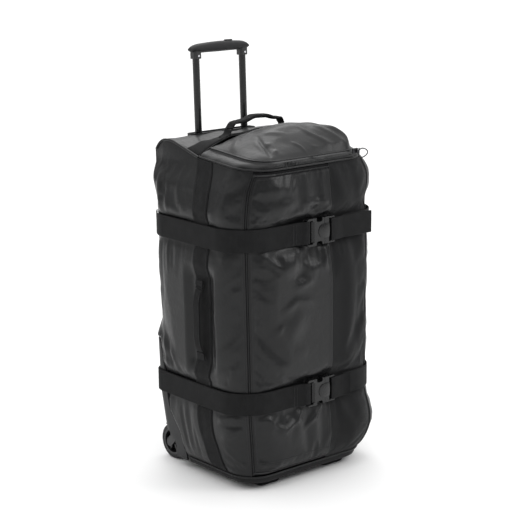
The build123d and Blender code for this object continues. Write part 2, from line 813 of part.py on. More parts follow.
def buckle_female(z):
    """Sleeve of a side-release buckle, with the bar that holds the left webbing."""
    with BuildPart() as female:
        with BuildSketch(Plane.XZ.offset(-BUCKLE_BACK)):
            with BuildLine():
                Polyline(
                    (BUCKLE_LEFT, z - 28),
                    (BUCKLE_LEFT + 4, z - BUCKLE_H / 2),
                    (-10, z - BUCKLE_H / 2),
                    (BUCKLE_MID, z - 29.5),
                    (BUCKLE_MID, z + 29.5),
                    (-10, z + BUCKLE_H / 2),
                    (BUCKLE_LEFT + 4, z + BUCKLE_H / 2),
                    (BUCKLE_LEFT, z + 28),
                    (BUCKLE_LEFT, z - 28),
                )
            make_face()
        extrude(amount=BUCKLE_BACK - BUCKLE_FRONT)
        fillet(female.faces().sort_by(Axis.Y)[0].edges(), 1.4)
        with BuildSketch(Plane.YZ.offset(BUCKLE_MID)):
            with Locations(((BUCKLE_BACK + BUCKLE_FRONT) / 2, z)):
                RectangleRounded(8.4, 44, 1.5)
        extrude(amount=-(BUCKLE_MID - SLOT_RIGHT - 6.5), mode=Mode.SUBTRACT)
        with BuildSketch(Plane.XZ.offset(-BUCKLE_BACK)):
            with Locations(((SLOT_LEFT + SLOT_RIGHT) / 2, z)):
                Rectangle(SLOT_RIGHT - SLOT_LEFT, WEB + 2)
            with Locations((5, z + 27), (5, z - 27)):
                RectangleRounded(17, 11, 4.5)
        extrude(amount=BUCKLE_BACK - BUCKLE_FRONT, mode=Mode.SUBTRACT)
        with BuildSketch(Plane.XY.offset(z - 23)):
            Polygon(
                (SLOT_RIGHT - 1, BUCKLE_FRONT - 1),
                (SLOT_RIGHT + 6, BUCKLE_FRONT - 1),
                (SLOT_RIGHT, BUCKLE_FRONT + 5.2),
                (SLOT_RIGHT - 1, BUCKLE_FRONT + 5.2),
                align=None,
            )
        extrude(amount=46, mode=Mode.SUBTRACT)
        with BuildSketch(Plane.XZ.offset(-BUCKLE_BACK)):
            with Locations((BUCKLE_LEFT + 2.3, z)):
                Rectangle(5.6, WEB + 2)
        extrude(amount=3.2, mode=Mode.SUBTRACT)
        with BuildSketch(Plane.XZ.offset(-BUCKLE_FRONT)):
            with Locations((BUCKLE_LEFT + 2.3, z)):
                Rectangle(5.6, WEB + 2)
        extrude(amount=-3.2, mode=Mode.SUBTRACT)
    return female


def buckle_male(z):
    """Prongs, guide and base of a side-release buckle, with two bars that hold the right webbing."""
    with BuildPart() as dome:
        with BuildSketch(Plane.XZ.offset(-BUCKLE_FRONT + 0.35)):
            with Locations((BUCKLE_MID - 3, z)):
                Ellipse(15, 15.5)
            with Locations((BUCKLE_MID + 5.2, z)):
                Rectangle(16.4, 31)
        extrude(amount=6)
        with Locations((BUCKLE_MID - 1, BUCKLE_FRONT + DOME_R - 2.9, z)):
            Sphere(DOME_R, mode=Mode.INTERSECT)
    with BuildPart() as male:
        with BuildSketch(Plane.XZ.offset(-BUCKLE_BACK + 1)):
            with Locations(((BUCKLE_MID + 0.6 + BUCKLE_RIGHT) / 2, z)):
                RectangleRounded(BUCKLE_RIGHT - BUCKLE_MID - 0.6, BUCKLE_H - 2, 3)
            with Locations((BUCKLE_MID + 16, z), (BUCKLE_MID + 25, z)):
                Rectangle(4.6, WEB + 2, mode=Mode.SUBTRACT)
        extrude(amount=10)
        fillet(male.edges().filter_by(Axis.Z).sort_by(Axis.X)[-1], 1.2)
        with BuildSketch(Plane.XZ.offset(-(BUCKLE_BACK + BUCKLE_FRONT) / 2)):
            with Locations((BUCKLE_MID - 6, z)):
                Rectangle(16, 6)
            with Locations((BUCKLE_MID - 11, z + 18.2), (BUCKLE_MID - 11, z - 18.2)):
                RectangleRounded(26, 6.5, 2.5)
        extrude(amount=3.2, both=True)
        with BuildSketch(Plane.XZ.offset(-(BUCKLE_BACK + BUCKLE_FRONT) / 2)):
            with Locations((BUCKLE_MID + 3, z)):
                Rectangle(8, 43)
        extrude(amount=3.2, both=True)
        with BuildSketch(Plane.XZ.offset(-BUCKLE_FRONT - 1.5)):
            with Locations((BUCKLE_MID + 7, z)):
                Rectangle(12.8, 31)
        extrude(amount=1.85)
        add(dome.part)
    return male


def strap_tail(z, end_x, curl):
    """Loose end of the right webbing, out of the bars and away over the webbing on the bag."""
    front = BUCKLE_FRONT - 0.4
    line = [(BUCKLE_MID + 19, front), (BUCKLE_RIGHT + 3, front)]
    if curl:
        line += [(76, TAIL_Y - 1.4), (end_x - 6, TAIL_Y - 1.4), (end_x, TAIL_Y - 5.4)]
    else:
        line += [(78, TAIL_Y), (end_x, TAIL_Y)]
    with BuildPart() as tail:
        with BuildSketch(Plane.XY.offset(z - WEB / 2)):
            Polygon(*strip(line, -WEB_T), align=None)
        extrude(amount=WEB)
    return tail


for level, z, tail_end, curl in (
    ("upper", UPPER_STRAP_Z, 163.0, False),
    ("lower", LOWER_STRAP_Z, 96.0, True),
):
    with BuildPart() as strap_left:
        add(strap_ring(z, True).part)
        add(bar_loop(Plane.XY.offset(z - WEB / 2), BUCKLE_LEFT - 3.4, BUCKLE_LEFT + 8.4))
    save(strap_left, f"{level}_strap_left")
    save(strap_ring(z, False), f"{level}_strap_right")
    save(strap_tail(z, tail_end, curl), f"{level}_strap_tail")
    save(buckle_female(z), f"{level}_buckle_female")
    save(buckle_male(z), f"{level}_buckle_male")

# ---------------------------------------------------------------- main zipper sliders, under the upper strap

slider_x, slider_y = seam_point(79, 0)
turn = math.radians(SEAM_ANGLE)
for label, z in (("main_slider_lower", UPPER_STRAP_Z - 19), ("main_slider_upper", UPPER_STRAP_Z + 2)):
    face = Plane(
        origin=(slider_x, slider_y, z),
        x_dir=(math.cos(turn), -math.sin(turn), 0),
        z_dir=(-math.sin(turn), -math.cos(turn), 0),
    )
    with BuildPart() as main_slider:
        with BuildSketch(face.offset(0.8)):
            with Locations((0, 8.5)):
                RectangleRounded(9, 17, 2.5)
        extrude(amount=2.4)
        with BuildSketch(face.offset(3.2)):
            with Locations((0, 8.5)):
                RectangleRounded(6, 15, 1.5)
        extrude(amount=1.4)
    save(main_slider, label)

# ---------------------------------------------------------------- telescopic handle


def tube_pair(radius, bore, low, high):
    """Two parallel tubes on the leaning plane."""
    with BuildPart() as tubes:
        with BuildSketch(tube_plane.offset(low)):
            with Locations((-TUBE_X, 0), (TUBE_X, 0)):
                Circle(radius)
                Circle(bore, mode=Mode.SUBTRACT)
        extrude(amount=high - low)
    return tubes


outer_tubes = tube_pair(OUTER_R, OUTER_BORE_R, 48, 739)
save(outer_tubes, "outer_tubes")
middle_tubes = tube_pair(MIDDLE_R, MIDDLE_BORE_R, 500, 746)
save(middle_tubes, "middle_tubes")
inner_tubes = tube_pair(INNER_R, INNER_BORE_R, 640, 936)
save(inner_tubes, "inner_tubes")
tube_collars = tube_pair(MIDDLE_R + 0.6, INNER_R + 0.3, 746.2, 753.5)
save(tube_collars, "tube_collars")

with BuildPart() as trolley_bezel:
    with BuildSketch(tube_plane.offset(741)):
        RectangleRounded(184, 33, 12)
    extrude(amount=BEZEL_Z - 741)
    with BuildSketch(tube_plane.offset(BEZEL_Z)):
        RectangleRounded(184, 33, 12)
        RectangleRounded(178, 27, 9, mode=Mode.SUBTRACT)
    extrude(amount=3)
    with BuildSketch(tube_plane.offset(740)):
        with Locations((-TUBE_X, 0), (TUBE_X, 0)):
            Circle(MIDDLE_R + 1.1)
    extrude(amount=20, mode=Mode.SUBTRACT)
    with BuildSketch(tube_plane.offset(BEZEL_Z - 5)):
        RectangleRounded(84, 15, 5)
    extrude(amount=10, mode=Mode.SUBTRACT)
save(trolley_bezel, "trolley_bezel")

with BuildPart() as trolley_foot:
    with BuildSketch(tube_plane.offset(29.4)):
        RectangleRounded(176, 27, 6)
    extrude(amount=26)
    with BuildSketch(tube_plane.offset(47.8)):
        with Locations((-TUBE_X, 0), (TUBE_X, 0)):
            Circle(OUTER_R + 0.05)
    extrude(amount=20, mode=Mode.SUBTRACT)
save(trolley_foot, "trolley_foot")

front_plane = Plane(origin=tube_plane.origin, x_dir=(1, 0, 0), z_dir=-tube_plane.y_dir)

with BuildPart() as handle_yoke:
    with BuildSketch(tube_plane.offset(922)):
        with Locations((-TUBE_X, 0), (TUBE_X, 0)):
            RectangleRounded(21, 21, 6)
    extrude(amount=20)
    with BuildSketch(tube_plane.offset(938)):
        RectangleRounded(142, 12, 4)
    extrude(amount=9)
    with BuildSketch(tube_plane.offset(921)):
        with Locations((-TUBE_X, 0), (TUBE_X, 0)):
            Circle(INNER_R + 0.03)
    extrude(amount=15.2, mode=Mode.SUBTRACT)
    with BuildSketch(front_plane.offset(20)):
        with Locations((-TUBE_X, 928.5), (TUBE_X, 928.5)):
            Circle(2.3)
    extrude(amount=-15, mode=Mode.SUBTRACT)
save(handle_yoke, "handle_yoke")

with BuildPart() as grip_screws:
    with BuildSketch(front_plane.offset(8.1)):
        with Locations((-TUBE_X, 928.5), (TUBE_X, 928.5)):
            Circle(2.25)
    extrude(amount=3.6)
save(grip_screws, "grip_screws")

# Grip sections: distance from the middle, half depth, half height, height of the section's centre.
GRIP_SECTIONS = [(82, 9, 4, 942.5), (70, 13, 9, 944.0), (40, 13.5, 11, 945.2), (0, 13.5, 11.8, 945.8)]
with BuildPart() as grip:
    for sign, rows in ((-1, GRIP_SECTIONS[:-1]), (1, GRIP_SECTIONS[::-1])):
        for x, half_depth, half_height, height in rows:
            centre = tube_plane.origin + Vector(sign * x, 0, 0) + tube_plane.z_dir * height
            with BuildSketch(Plane(origin=centre, x_dir=tube_plane.y_dir, z_dir=(1, 0, 0))):
                Ellipse(half_depth, half_height)
    loft()
    with BuildSketch(tube_plane.offset(920)):
        with Locations((-TUBE_X, 0), (TUBE_X, 0)):
            RectangleRounded(21.4, 21.4, 6.2)
    extrude(amount=22.2, mode=Mode.SUBTRACT)
    with BuildSketch(tube_plane.offset(937.6)):
        RectangleRounded(142.4, 12.4, 4.2)
    extrude(amount=9.6, mode=Mode.SUBTRACT)
    with BuildSketch(tube_plane.offset(950.6)):
        with Locations((BUTTON_X, 0)):
            RectangleRounded(23, 10, 4.5)
    extrude(amount=20, mode=Mode.SUBTRACT)
save(grip, "grip")

with BuildPart() as release_button:
    with BuildSketch(tube_plane.offset(953.6)):
        with Locations((BUTTON_X, 0)):
            RectangleRounded(22, 9, 4.2)
    extrude(amount=6)
    fillet(release_button.faces().sort_by(Axis.Z)[-1].edges(), 1.6)
save(release_button, "release_button")
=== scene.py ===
import math

import bmesh
import bpy
import numpy as np
from mathutils import Matrix, Vector, noise


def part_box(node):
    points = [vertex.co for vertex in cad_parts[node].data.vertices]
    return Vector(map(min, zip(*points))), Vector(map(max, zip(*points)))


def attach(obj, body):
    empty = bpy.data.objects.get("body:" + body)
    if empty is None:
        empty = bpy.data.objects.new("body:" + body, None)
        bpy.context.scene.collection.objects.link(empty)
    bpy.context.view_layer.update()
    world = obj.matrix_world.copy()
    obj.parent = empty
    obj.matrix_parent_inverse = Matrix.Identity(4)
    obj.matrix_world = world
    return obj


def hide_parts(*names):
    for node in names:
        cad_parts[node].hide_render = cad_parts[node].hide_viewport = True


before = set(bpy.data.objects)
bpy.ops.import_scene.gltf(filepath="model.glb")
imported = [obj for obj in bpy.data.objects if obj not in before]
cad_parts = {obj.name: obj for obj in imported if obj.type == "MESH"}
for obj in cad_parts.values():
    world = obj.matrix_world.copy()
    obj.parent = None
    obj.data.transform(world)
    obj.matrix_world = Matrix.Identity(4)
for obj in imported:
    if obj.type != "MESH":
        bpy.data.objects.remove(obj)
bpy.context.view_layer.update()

# ---------------------------------------------------------------- places and sizes, in metres

# Body outline: height, half width, front depth, front corner radius, back corner radius.
BODY_ROWS = np.array([
    (0.020, 0.176, 0.158, 0.060, 0.027),
    (0.030, 0.178, 0.160, 0.062, 0.027),
    (0.110, 0.190, 0.168, 0.070, 0.027),
    (0.180, 0.199, 0.172, 0.076, 0.027),
    (0.300, 0.2007, 0.172, 0.0766, 0.027),
    (0.540, 0.2042, 0.172, 0.0777, 0.027),
    (0.595, 0.205, 0.172, 0.078, 0.027),
    (0.660, 0.198, 0.172, 0.076, 0.020),
    (0.715, 0.176, 0.171, 0.070, 0.006),
    (0.765, 0.173, 0.171, 0.070, 0.004),
])
# The back leans by this slope from its foot.
LEAN = math.tan(math.radians(1.5))
BACK_FOOT_Y, BACK_FOOT_Z = 0.137, 0.030
BACK_SEAM_X = 0.172
# How far round the front corner its seam lies, as an angle.
SEAM_TURN = math.radians(38)
# Depth over which each side is drawn in towards the back seam.
SIDE_TUCK = 0.060
# Sizes of the right front corner's bulges at its foot and near its top, and of its dent beside the
# upper strap.
FOOT_BULGE, TOP_BULGE, STRAP_PINCH = 0.0252, 0.00945, 0.0063
# A side handle's middle, and how far at most the skin stands out under it.
HANDLE_Y, HANDLE_Z = -0.040, 0.378
HANDLE_LIFT = -0.0008
# Folds and the pillow shape start this far from a seam.
SEAM_CALM = 0.007
SKIN_WALL = 0.0018
SIDE_NAMES = {-1: "left", 1: "right"}
# Above this height the sides are fabric all the way to the back.
SOFT_LOW = 0.300
ZIP_HALF = 0.0035
FLAP_EDGE = 0.045
FLAP_LOW, FLAP_HIGH = 0.0445, 0.6985
SKIN_LOW = 0.034
# How far the panels end below the gable line.
GABLE_GAP = 0.001

# Radii of the pull tab's loop and of the welt round each side panel.
PULL_R = 0.0013
SIDE_WELT_R = 0.0030

# Upper outline of a side panel, seen from the side, from the front to the back.
TOP_SLOPE = math.tan(math.radians(5.2))
VALLEY_Y, VALLEY_Z = 0.0, 0.727
RIDGE = (0.100, 0.755)
GABLE_CORNER = (0.156, 0.752)

STRAP_WIDTH = 0.050
BAND_WIDTH, BAND_THICK = 0.053, 0.0016
STRAP_THICK = 0.0022
STRAP_LIFT = 0.0044
# Top pocket: the lid's half width, front and back edges, corner radius and rim height over the slope.
POCKET_HALF, POCKET_FRONT, POCKET_BACK = 0.146, 0.166, 0.004
LID_CORNER = 0.050
LID_RIM_RISE = 0.0185

UPPER_STRAP_Z = sum(p.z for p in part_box("upper_strap_left")) / 2
LOWER_STRAP_Z = sum(p.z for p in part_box("lower_strap_left")) / 2

# Outline of a wheel housing seen from the side, as y and height. The fabric ends this far inside it.
HOUSING_OVERLAP = 0.004
HOUSING_LINE = [
    (0.060, 0.010),
    (0.061, 0.050),
    (0.066, 0.094),
    (0.079, 0.115),
    (0.093, 0.134),
    (0.097, 0.168),
    (0.103, 0.222),
    (0.111, 0.268),
    (0.118, 0.301),
    (0.230, 0.301),
    (0.230, 0.010),
]


def rising(value, start, width):
    """0 up to a start, then even up to 1 over a width."""
    return np.clip((value - start) / width, 0, 1)


def falling(value, end, width):
    """1, then even down to 0 over the width before an end."""
    return np.clip((end - value) / width, 0, 1)


def hermite(x, xs, ys):
    """Smooth curve through given points that doesn't swing past them, vectorised."""
    steps = np.diff(ys) / np.diff(xs)
    before, after = steps[:-1], steps[1:]
    same_way = before * after > 0
    inner = np.where(same_way, 2 * before * after / np.where(same_way, before + after, 1), 0)
    slopes = np.r_[steps[0], inner, steps[-1]]
    i = np.clip(np.searchsorted(xs, x) - 1, 0, len(xs) - 2)
    width = xs[i + 1] - xs[i]
    t = np.clip((x - xs[i]) / width, 0, 1)
    a = 2 * t**3 - 3 * t**2 + 1
    b = t**3 - 2 * t**2 + t
    c = -2 * t**3 + 3 * t**2
    d = t**3 - t**2
    return a * ys[i] + b * width * slopes[i] + c * ys[i + 1] + d * width * slopes[i + 1]


def body_row(z):
    """Half width, front depth, front and back corner radius of the body at a height."""
    z = np.asarray(z, float)
    return [hermite(z, BODY_ROWS[:, 0], BODY_ROWS[:, k]) for k in range(1, 5)]


def back_y(z):
    return BACK_FOOT_Y + (np.asarray(z, float) - BACK_FOOT_Z) * LEAN


def front_seam(z):
    """Distance round the body from the middle of the front to a front corner seam."""
    half, _, r, _ = body_row(z)
    return half - r + r * SEAM_TURN


def back_seam(z):
    """Distance round the body from the middle of the front to the seam with the back."""
    half, front, r, rb = body_row(z)
    to_arc = half - r + r * math.pi / 2 + front - r + back_y(z) - rb
    share = np.clip((BACK_SEAM_X - half + rb) / rb, -1, 1)
    past = np.maximum(half - rb - BACK_SEAM_X, 0)
    return to_arc + rb * np.arccos(np.clip(share, 0, 1)) + past


def plan_line(t, z):
    """Plain body outline, t metres round from the front's middle: the x and y of its right half."""
    half, front, r, rb = body_row(z)
    back = back_y(z)
    edge1 = half - r
    edge2 = edge1 + r * math.pi / 2
    edge3 = edge2 + front - r + back - rb
    edge4 = edge3 + rb * math.pi / 2
    f = np.clip((t - edge1) / r, 0, math.pi / 2)
    g = np.clip((t - edge3) / rb, 0, math.pi / 2)
    x = np.where(t < edge1, t, half - r + r * np.sin(f))
    y = np.where(t < edge2, -(front - r) - r * np.cos(f), -(front - r) + np.minimum(t, edge3) - edge2)
    behind = t > edge3
    x = np.where(behind, half - rb + rb * np.cos(g) - np.maximum(t - edge4, 0), x)
    y = np.where(behind, back - rb + rb * np.sin(g), y)
    # Above the wheel housings the soft side is drawn in towards the back seam.
    soft = rising(z, SOFT_LOW, 0.060) * falling(z, 0.695, 0.070)
    soft = soft * soft * (3 - 2 * soft)
    turn = back - SIDE_TUCK
    flat = turn + front - r
    curve = math.hypot(SIDE_TUCK, 0.030) * 1.03
    along = np.clip((t - edge2) / (back_seam(z) - edge2), 0, 1.05) * (flat + curve)
    u = np.clip((along - flat) / curve, 0, 1.05)
    a, b, c, d = (1 - u) ** 3, 3 * u * (1 - u) ** 2, 3 * u * u * (1 - u), u**3
    soft_x = a * half + b * half + c * (BACK_SEAM_X + 0.012) + d * BACK_SEAM_X
    soft_y = a * turn + b * (turn + 0.024) + c * (back - 0.014) + d * back
    soft_y = np.where(along < flat, -(front - r) + along, soft_y)
    soft = np.where(t > edge2, soft, 0)
    return x * (1 - soft) + soft_x * soft, y * (1 - soft) + soft_y * soft


def plan_point(s, z):
    """Point and outward direction on the plain body outline, s metres round from the front's middle."""
    s, z = np.broadcast_arrays(np.asarray(s, float), np.asarray(z, float))
    t = np.abs(s)
    x, y = plan_line(t, z)
    ahead_x, ahead_y = plan_line(t + 0.0008, z)
    dx, dy = ahead_x - x, ahead_y - y
    length = np.maximum(np.hypot(dx, dy), 1e-9)
    side = np.where(s < 0, -1.0, 1.0)
    point = np.stack([x * side, y, z], -1)
    normal = np.stack([dy / length * side, -dx / length, np.zeros_like(x)], -1)
    return point, normal


def run_length(path):
    """Distance run along a path at each of its points."""
    return np.r_[0, np.cumsum(np.linalg.norm(np.diff(path, axis=0), axis=1))]


def fillet_path(points, radii, step=0.004):
    """Dense points along a polyline whose inner corners are rounded."""
    points = [np.array(p, float) for p in points]
    path = [points[0]]
    for before, corner, after, radius in zip(points, points[1:], points[2:], radii):
        u = (before - corner) / np.linalg.norm(before - corner)
        v = (after - corner) / np.linalg.norm(after - corner)
        angle = math.acos(np.clip(u @ v, -1, 1))
        reach = radius / math.tan(angle / 2)
        middle = (u + v) / np.linalg.norm(u + v)
        centre = corner + middle * radius / math.sin(angle / 2)
        a = corner + u * reach - centre
        b = corner + v * reach - centre
        sweep = math.pi - angle
        for k in range(13):
            w = k / 12
            path.append(centre + (a * math.sin((1 - w) * sweep) + b * math.sin(w * sweep)) / math.sin(sweep))
    path.append(points[-1])
    return resample(np.array(path), step)


def resample(path, step):
    """The same line with evenly spaced points."""
    path = np.asarray(path, float)
    lengths = run_length(path)
    keep = np.r_[True, np.diff(lengths) > 1e-9]
    path, lengths = path[keep], lengths[keep]
    count = max(2, round(lengths[-1] / step) + 1)
    at = np.linspace(0, lengths[-1], count)
    return np.stack([np.interp(at, lengths, path[:, k]) for k in range(path.shape[1])], -1)


def spline(points, step=0.002):
    """Smooth line through given points, evenly resampled."""
    points = np.asarray(points, float)
    lengths = run_length(points)
    at = np.linspace(0, lengths[-1], 40 * len(points))
    return resample(np.stack([hermite(at, lengths, points[:, k]) for k in range(points.shape[1])], -1), step)


GABLE = fillet_path(
    [(-0.300, VALLEY_Z - 0.300 * TOP_SLOPE), (VALLEY_Y, VALLEY_Z), RIDGE, GABLE_CORNER, (0.1575, 0.60)],
    [0.040, 0.060, 0.036],
    0.002,
)


def gable_z(y):
    """Height of the side panel's upper edge."""
    climb = GABLE[: int(np.argmax(GABLE[:, 0])) + 1]
    return np.interp(y, climb[:, 0], climb[:, 1])


def under_gable(y):
    """Height at which a panel ends, just below the gable line."""
    return gable_z(y) - GABLE_GAP


# ---------------------------------------------------------------- how the fabric bulges and folds


def bump_at(value, centre, width):
    return np.exp(-(((value - centre) / width) ** 2))


def crease(u, v, width, height, *line):
    """A soft ridge along a line of points, or with a negative height a dent.

    Its width, height and points are in millimetres, its places u and v and the result in metres.
    """
    points = np.array(line) / 1000
    lengths = np.linalg.norm(np.diff(points, axis=0), axis=1)
    total = lengths.sum()
    nearest = np.full(np.shape(u), 9.0)
    place = np.zeros(np.shape(u))
    done = 0.0
    for a, b, length in zip(points, points[1:], lengths):
        along = (b - a) / length
        t = np.clip((u - a[0]) * along[0] + (v - a[1]) * along[1], 0, length)
        away = np.hypot(u - a[0] - t * along[0], v - a[1] - t * along[1])
        closer = away < nearest
        nearest = np.where(closer, away, nearest)
        place = np.where(closer, (done + t) / total, place)
        done += length
    taper = 0.35 + 0.65 * np.sin(np.clip(place, 0, 1) * math.pi) ** 0.7
    return height / 1000 * taper * np.exp(-((nearest / (width / 1000)) ** 2))


# Folds of the front, in mm: width, height, then points as distance round from the middle and height.
FRONT_FOLDS = [
    (20, 5.0, (-120, 672), (-62, 664)),
    (5, -2.4, (-56, 694), (-70, 664)),
    (14, 3.4, (-105, 632), (-66, 640)),
    (14, -2.8, (-150, 650), (-60, 655)),
    (4, 3.2, (-190, 600), (-150, 602), (-100, 603)),
    (6, 3.4, (-112, 601), (-100, 604)),
    (13, -5.0, (-24, 612), (28, 614)),
    (8, 3.6, (-30, 634), (38, 628)),
    (8, 3.0, (-82, 606), (-44, 618)),
    (5, 3.0, (18, 602), (40, 622)),
    (10, -2.2, (24, 690), (34, 640)),
    (24, 6.5, (-100, 512), (-40, 506)),
    (12, 2.4, (-70, 538), (-36, 532)),
    (15, -6.0, (-14, 538), (-26, 500)),
    (7, 3.4, (-150, 542), (-112, 506), (-84, 486)),
    (14, -4.2, (-152, 492), (-136, 456)),
    (5, 2.6, (-168, 506), (-140, 502)),
    (9, 5.0, (30, 540), (28, 492)),
    (3, -1.8, (16, 532), (42, 534)),
    (3, -1.6, (18, 518), (42, 522)),
    (13, 4.2, (-16, 484), (14, 490)),
    (9, 3.6, (-58, 452), (-14, 462)),
    (10, -2.6, (-70, 476), (-30, 482)),
    (22, 4.0, (-84, 336), (-44, 392)),
    (9, 3.0, (-100, 400), (-60, 422), (-20, 415)),
    (8, 2.6, (-120, 352), (-96, 374)),
    (14, -2.6, (-110, 420), (-90, 330)),
    (16, 2.0, (-70, 306), (-30, 300)),
    (5, 3.0, (-182, 292), (-140, 254)),
    (6, -2.2, (-176, 276), (-150, 250)),
    (6, 4.0, (-62, 245), (22, 243)),
    (7, -5.0, (-58, 232), (18, 231)),
    (7, 6.0, (-134, 172), (-122, 150), (-90, 134), (-56, 148), (-42, 166)),
    (12, -5.0, (-88, 172), (-66, 170)),
    (6, 4.4, (-30, 126), (-4, 146), (22, 168)),
    (5, 2.4, (-170, 158), (-140, 166)),
    (5, 2.6, (-182, 106), (-150, 100)),
    (4, -2.0, (-182, 92), (-156, 90)),
    (8, 5.4, (-178, 64), (-130, 62), (-88, 52)),
    (8, 2.0, (24, 70), (44, 108)),
    (18, 3.0, (80, 690), (74, 620)),
    (14, -3.0, (104, 690), (120, 610)),
    (16, 3.0, (86, 536), (96, 420), (88, 250)),
    (12, -2.4, (118, 520), (124, 260)),
    (10, 3.0, (150, 500), (158, 280)),
    (16, 3.0, (70, 168), (120, 70)),
]
# Folds of the left side, in mm: width, height, then points as y and height.
SIDE_FOLDS = [
    (6, 2.6, (118, 690), (104, 604)),
    (7, -2.0, (104, 690), (86, 604)),
    (5, 1.6, (84, 668), (74, 602)),
    (9, 1.8, (-84, 630), (-80, 596)),
    (9, -1.8, (-124, 640), (-132, 596)),
    (6, 2.4, (110, 538), (108, 330)),
    (5, -2.0, (96, 538), (92, 400)),
    (5, 2.0, (76, 538), (72, 470)),
    (5, -1.6, (56, 536), (52, 480)),
    (14, 2.4, (-92, 395), (-66, 384)),
    (6, 1.8, (-166, 466), (-130, 452)),
    (6, -1.6, (-168, 440), (-134, 424)),
    (6, 1.6, (-168, 410), (-136, 400)),
    (5, 2.2, (102, 330), (84, 236)),
    (4, -2.2, (86, 320), (64, 236)),
    (4, 2.0, (68, 290), (46, 234)),
    (4, -1.6, (46, 262), (30, 232)),
    (8, 2.0, (14, 262), (6, 232)),
    (4, -1.8, (48, 176), (34, 60)),
    (4, 1.8, (36, 176), (22, 60)),
    (4, -1.6, (22, 174), (10, 70)),
    (3, -1.4, (2, 120), (-8, 54)),
    (6, 3.4, (-90, 158), (-120, 176), (-150, 172)),
    (6, -3.0, (-100, 150), (-150, 158)),
    (8, 2.6, (-96, 120), (-150, 146)),
    (5, 1.8, (-100, 96), (-150, 50)),
]


def relief(s, z, sim=None):
    """How far the fabric stands out from the plain outline, in metres."""
    s, z = np.broadcast_arrays(np.asarray(s, float), np.asarray(z, float))
    point, _ = plan_point(s, z)
    seam, back = front_seam(z), back_seam(z)
    to_seam = np.minimum(np.abs(np.abs(s) - seam), np.abs(np.abs(s) - back))
    to_seam = np.maximum(to_seam - SEAM_CALM, 0)
    pillow = 1 - np.exp(-to_seam / 0.022)
    pillow *= falling(np.abs(s), back, 0.03)
    gap = np.full(z.shape, 1.0)
    for strap_z in (UPPER_STRAP_Z, LOWER_STRAP_Z):
        away = np.maximum(np.abs(z - strap_z) - STRAP_WIDTH / 2, 0)
        gap *= 1 - np.exp(-((away / 0.024) ** 1.3))
    between = gap * (1 - np.exp(-np.maximum(z - SKIN_LOW, 0) / 0.008))
    gap *= 1 - np.exp(-np.maximum(z - SKIN_LOW, 0) / 0.022)
    gap *= 1 - np.exp(-np.maximum(gable_z(point[..., 1]) - z, 0) / 0.030)
    right_corner = bump_at(s, 0.20, 0.11)
    out = gap * pillow * (0.0062 + 0.0062 * right_corner)
    out += FOOT_BULGE * bump_at(s, 0.185, 0.065) * bump_at(z, 0.094, 0.064) * between
    head = rising(z, 0.625, 0.055) * (1 - np.exp(-np.maximum(0.716 - z, 0) / 0.007))
    out += TOP_BULGE * bump_at(s, 0.185, 0.060) * head
    out -= STRAP_PINCH * bump_at(s, 0.185, 0.055) * bump_at(z, 0.610, 0.018)
    lip = np.zeros(z.shape)
    for strap_z in (UPPER_STRAP_Z, LOWER_STRAP_Z):
        away = np.abs(z - strap_z) - STRAP_WIDTH / 2
        puckers = 0.4 + 0.6 * np.sin(s * 71 + 9 * strap_z) * np.sin(s * 33 + 2)
        lip += bump_at(away, 0.011, 0.008) * puckers
    out += 0.0022 * lip * gap
    folds = np.zeros(z.shape)
    for width, height, *line in FRONT_FOLDS:
        folds += crease(s, z, width, height, *line)
    left = np.where(s < 0, point[..., 1], 9.0)
    right = np.where(s > 0, point[..., 1], 9.0)
    on_side = rising(np.abs(s), seam, 0.02)
    for width, height, *line in SIDE_FOLDS:
        mirrored = [(y - 9, up + 14) for y, up in line]
        folds += on_side * crease(left, z, width, height, *line)
        folds += on_side * crease(right, z, width, -0.8 * height, *mirrored)
    free = np.clip(to_seam / 0.012, 0, 1) * np.clip(gap * 2.5, 0, 1)
    out += folds * free
    if sim is not None:
        out += sim(s / back, z) * free * (1 - 0.5 * on_side)
    beside = falling(np.abs(point[..., 1] - HANDLE_Y), 0.052, 0.018)
    along = falling(np.abs(z - HANDLE_Z), 0.125, 0.030)
    grip_zone = beside * along * on_side
    out = out * (1 - grip_zone) + np.minimum(out, HANDLE_LIFT) * grip_zone
    covered = housing_cover(point[..., 1], z)
    return out * (1 - covered) - 0.0022 * covered


def inside_housing(y, z):
    """How far inside the housing's outline a point is, in metres, negative outside."""
    y, z = np.broadcast_arrays(np.asarray(y, float), np.asarray(z, float))
    line = np.array(HOUSING_LINE)
    inside = np.zeros(y.shape, bool)
    nearest = np.full(y.shape, 9.0)
    for a, b in zip(line, np.roll(line, -1, axis=0)):
        along = b - a
        t = np.clip(((y - a[0]) * along[0] + (z - a[1]) * along[1]) / (along @ along), 0, 1)
        nearest = np.minimum(nearest, np.hypot(y - a[0] - t * along[0], z - a[1] - t * along[1]))
        crosses = (a[1] > z) != (b[1] > z)
        with np.errstate(divide="ignore", invalid="ignore"):
            at = a[0] + (z - a[1]) * along[0] / along[1]
        inside ^= crosses & (y < at)
    return np.where(inside, nearest, -nearest)


def housing_cover(y, z):
    """1 under a wheel housing, falling to 0 just outside it."""
    return np.clip(inside_housing(y, z) / 0.006 + 1, 0, 1)


# ---------------------------------------------------------------- mesh helpers


def new_object(name, verts, faces, uvs=None):
    mesh = bpy.data.meshes.new(name)
    mesh.from_pydata([tuple(map(float, v)) for v in verts], [], [tuple(f) for f in faces])
    mesh.validate()
    if uvs is not None:
        layer = mesh.uv_layers.new(name="UVMap")
        flat = np.asarray(uvs, np.float32)
        index = np.zeros(len(mesh.loops), np.int32)
        mesh.loops.foreach_get("vertex_index", index)
        layer.data.foreach_set("uv", flat[index].ravel())
    mesh.update()
    obj = bpy.data.objects.new(name, mesh)
    bpy.context.scene.collection.objects.link(obj)
    return obj


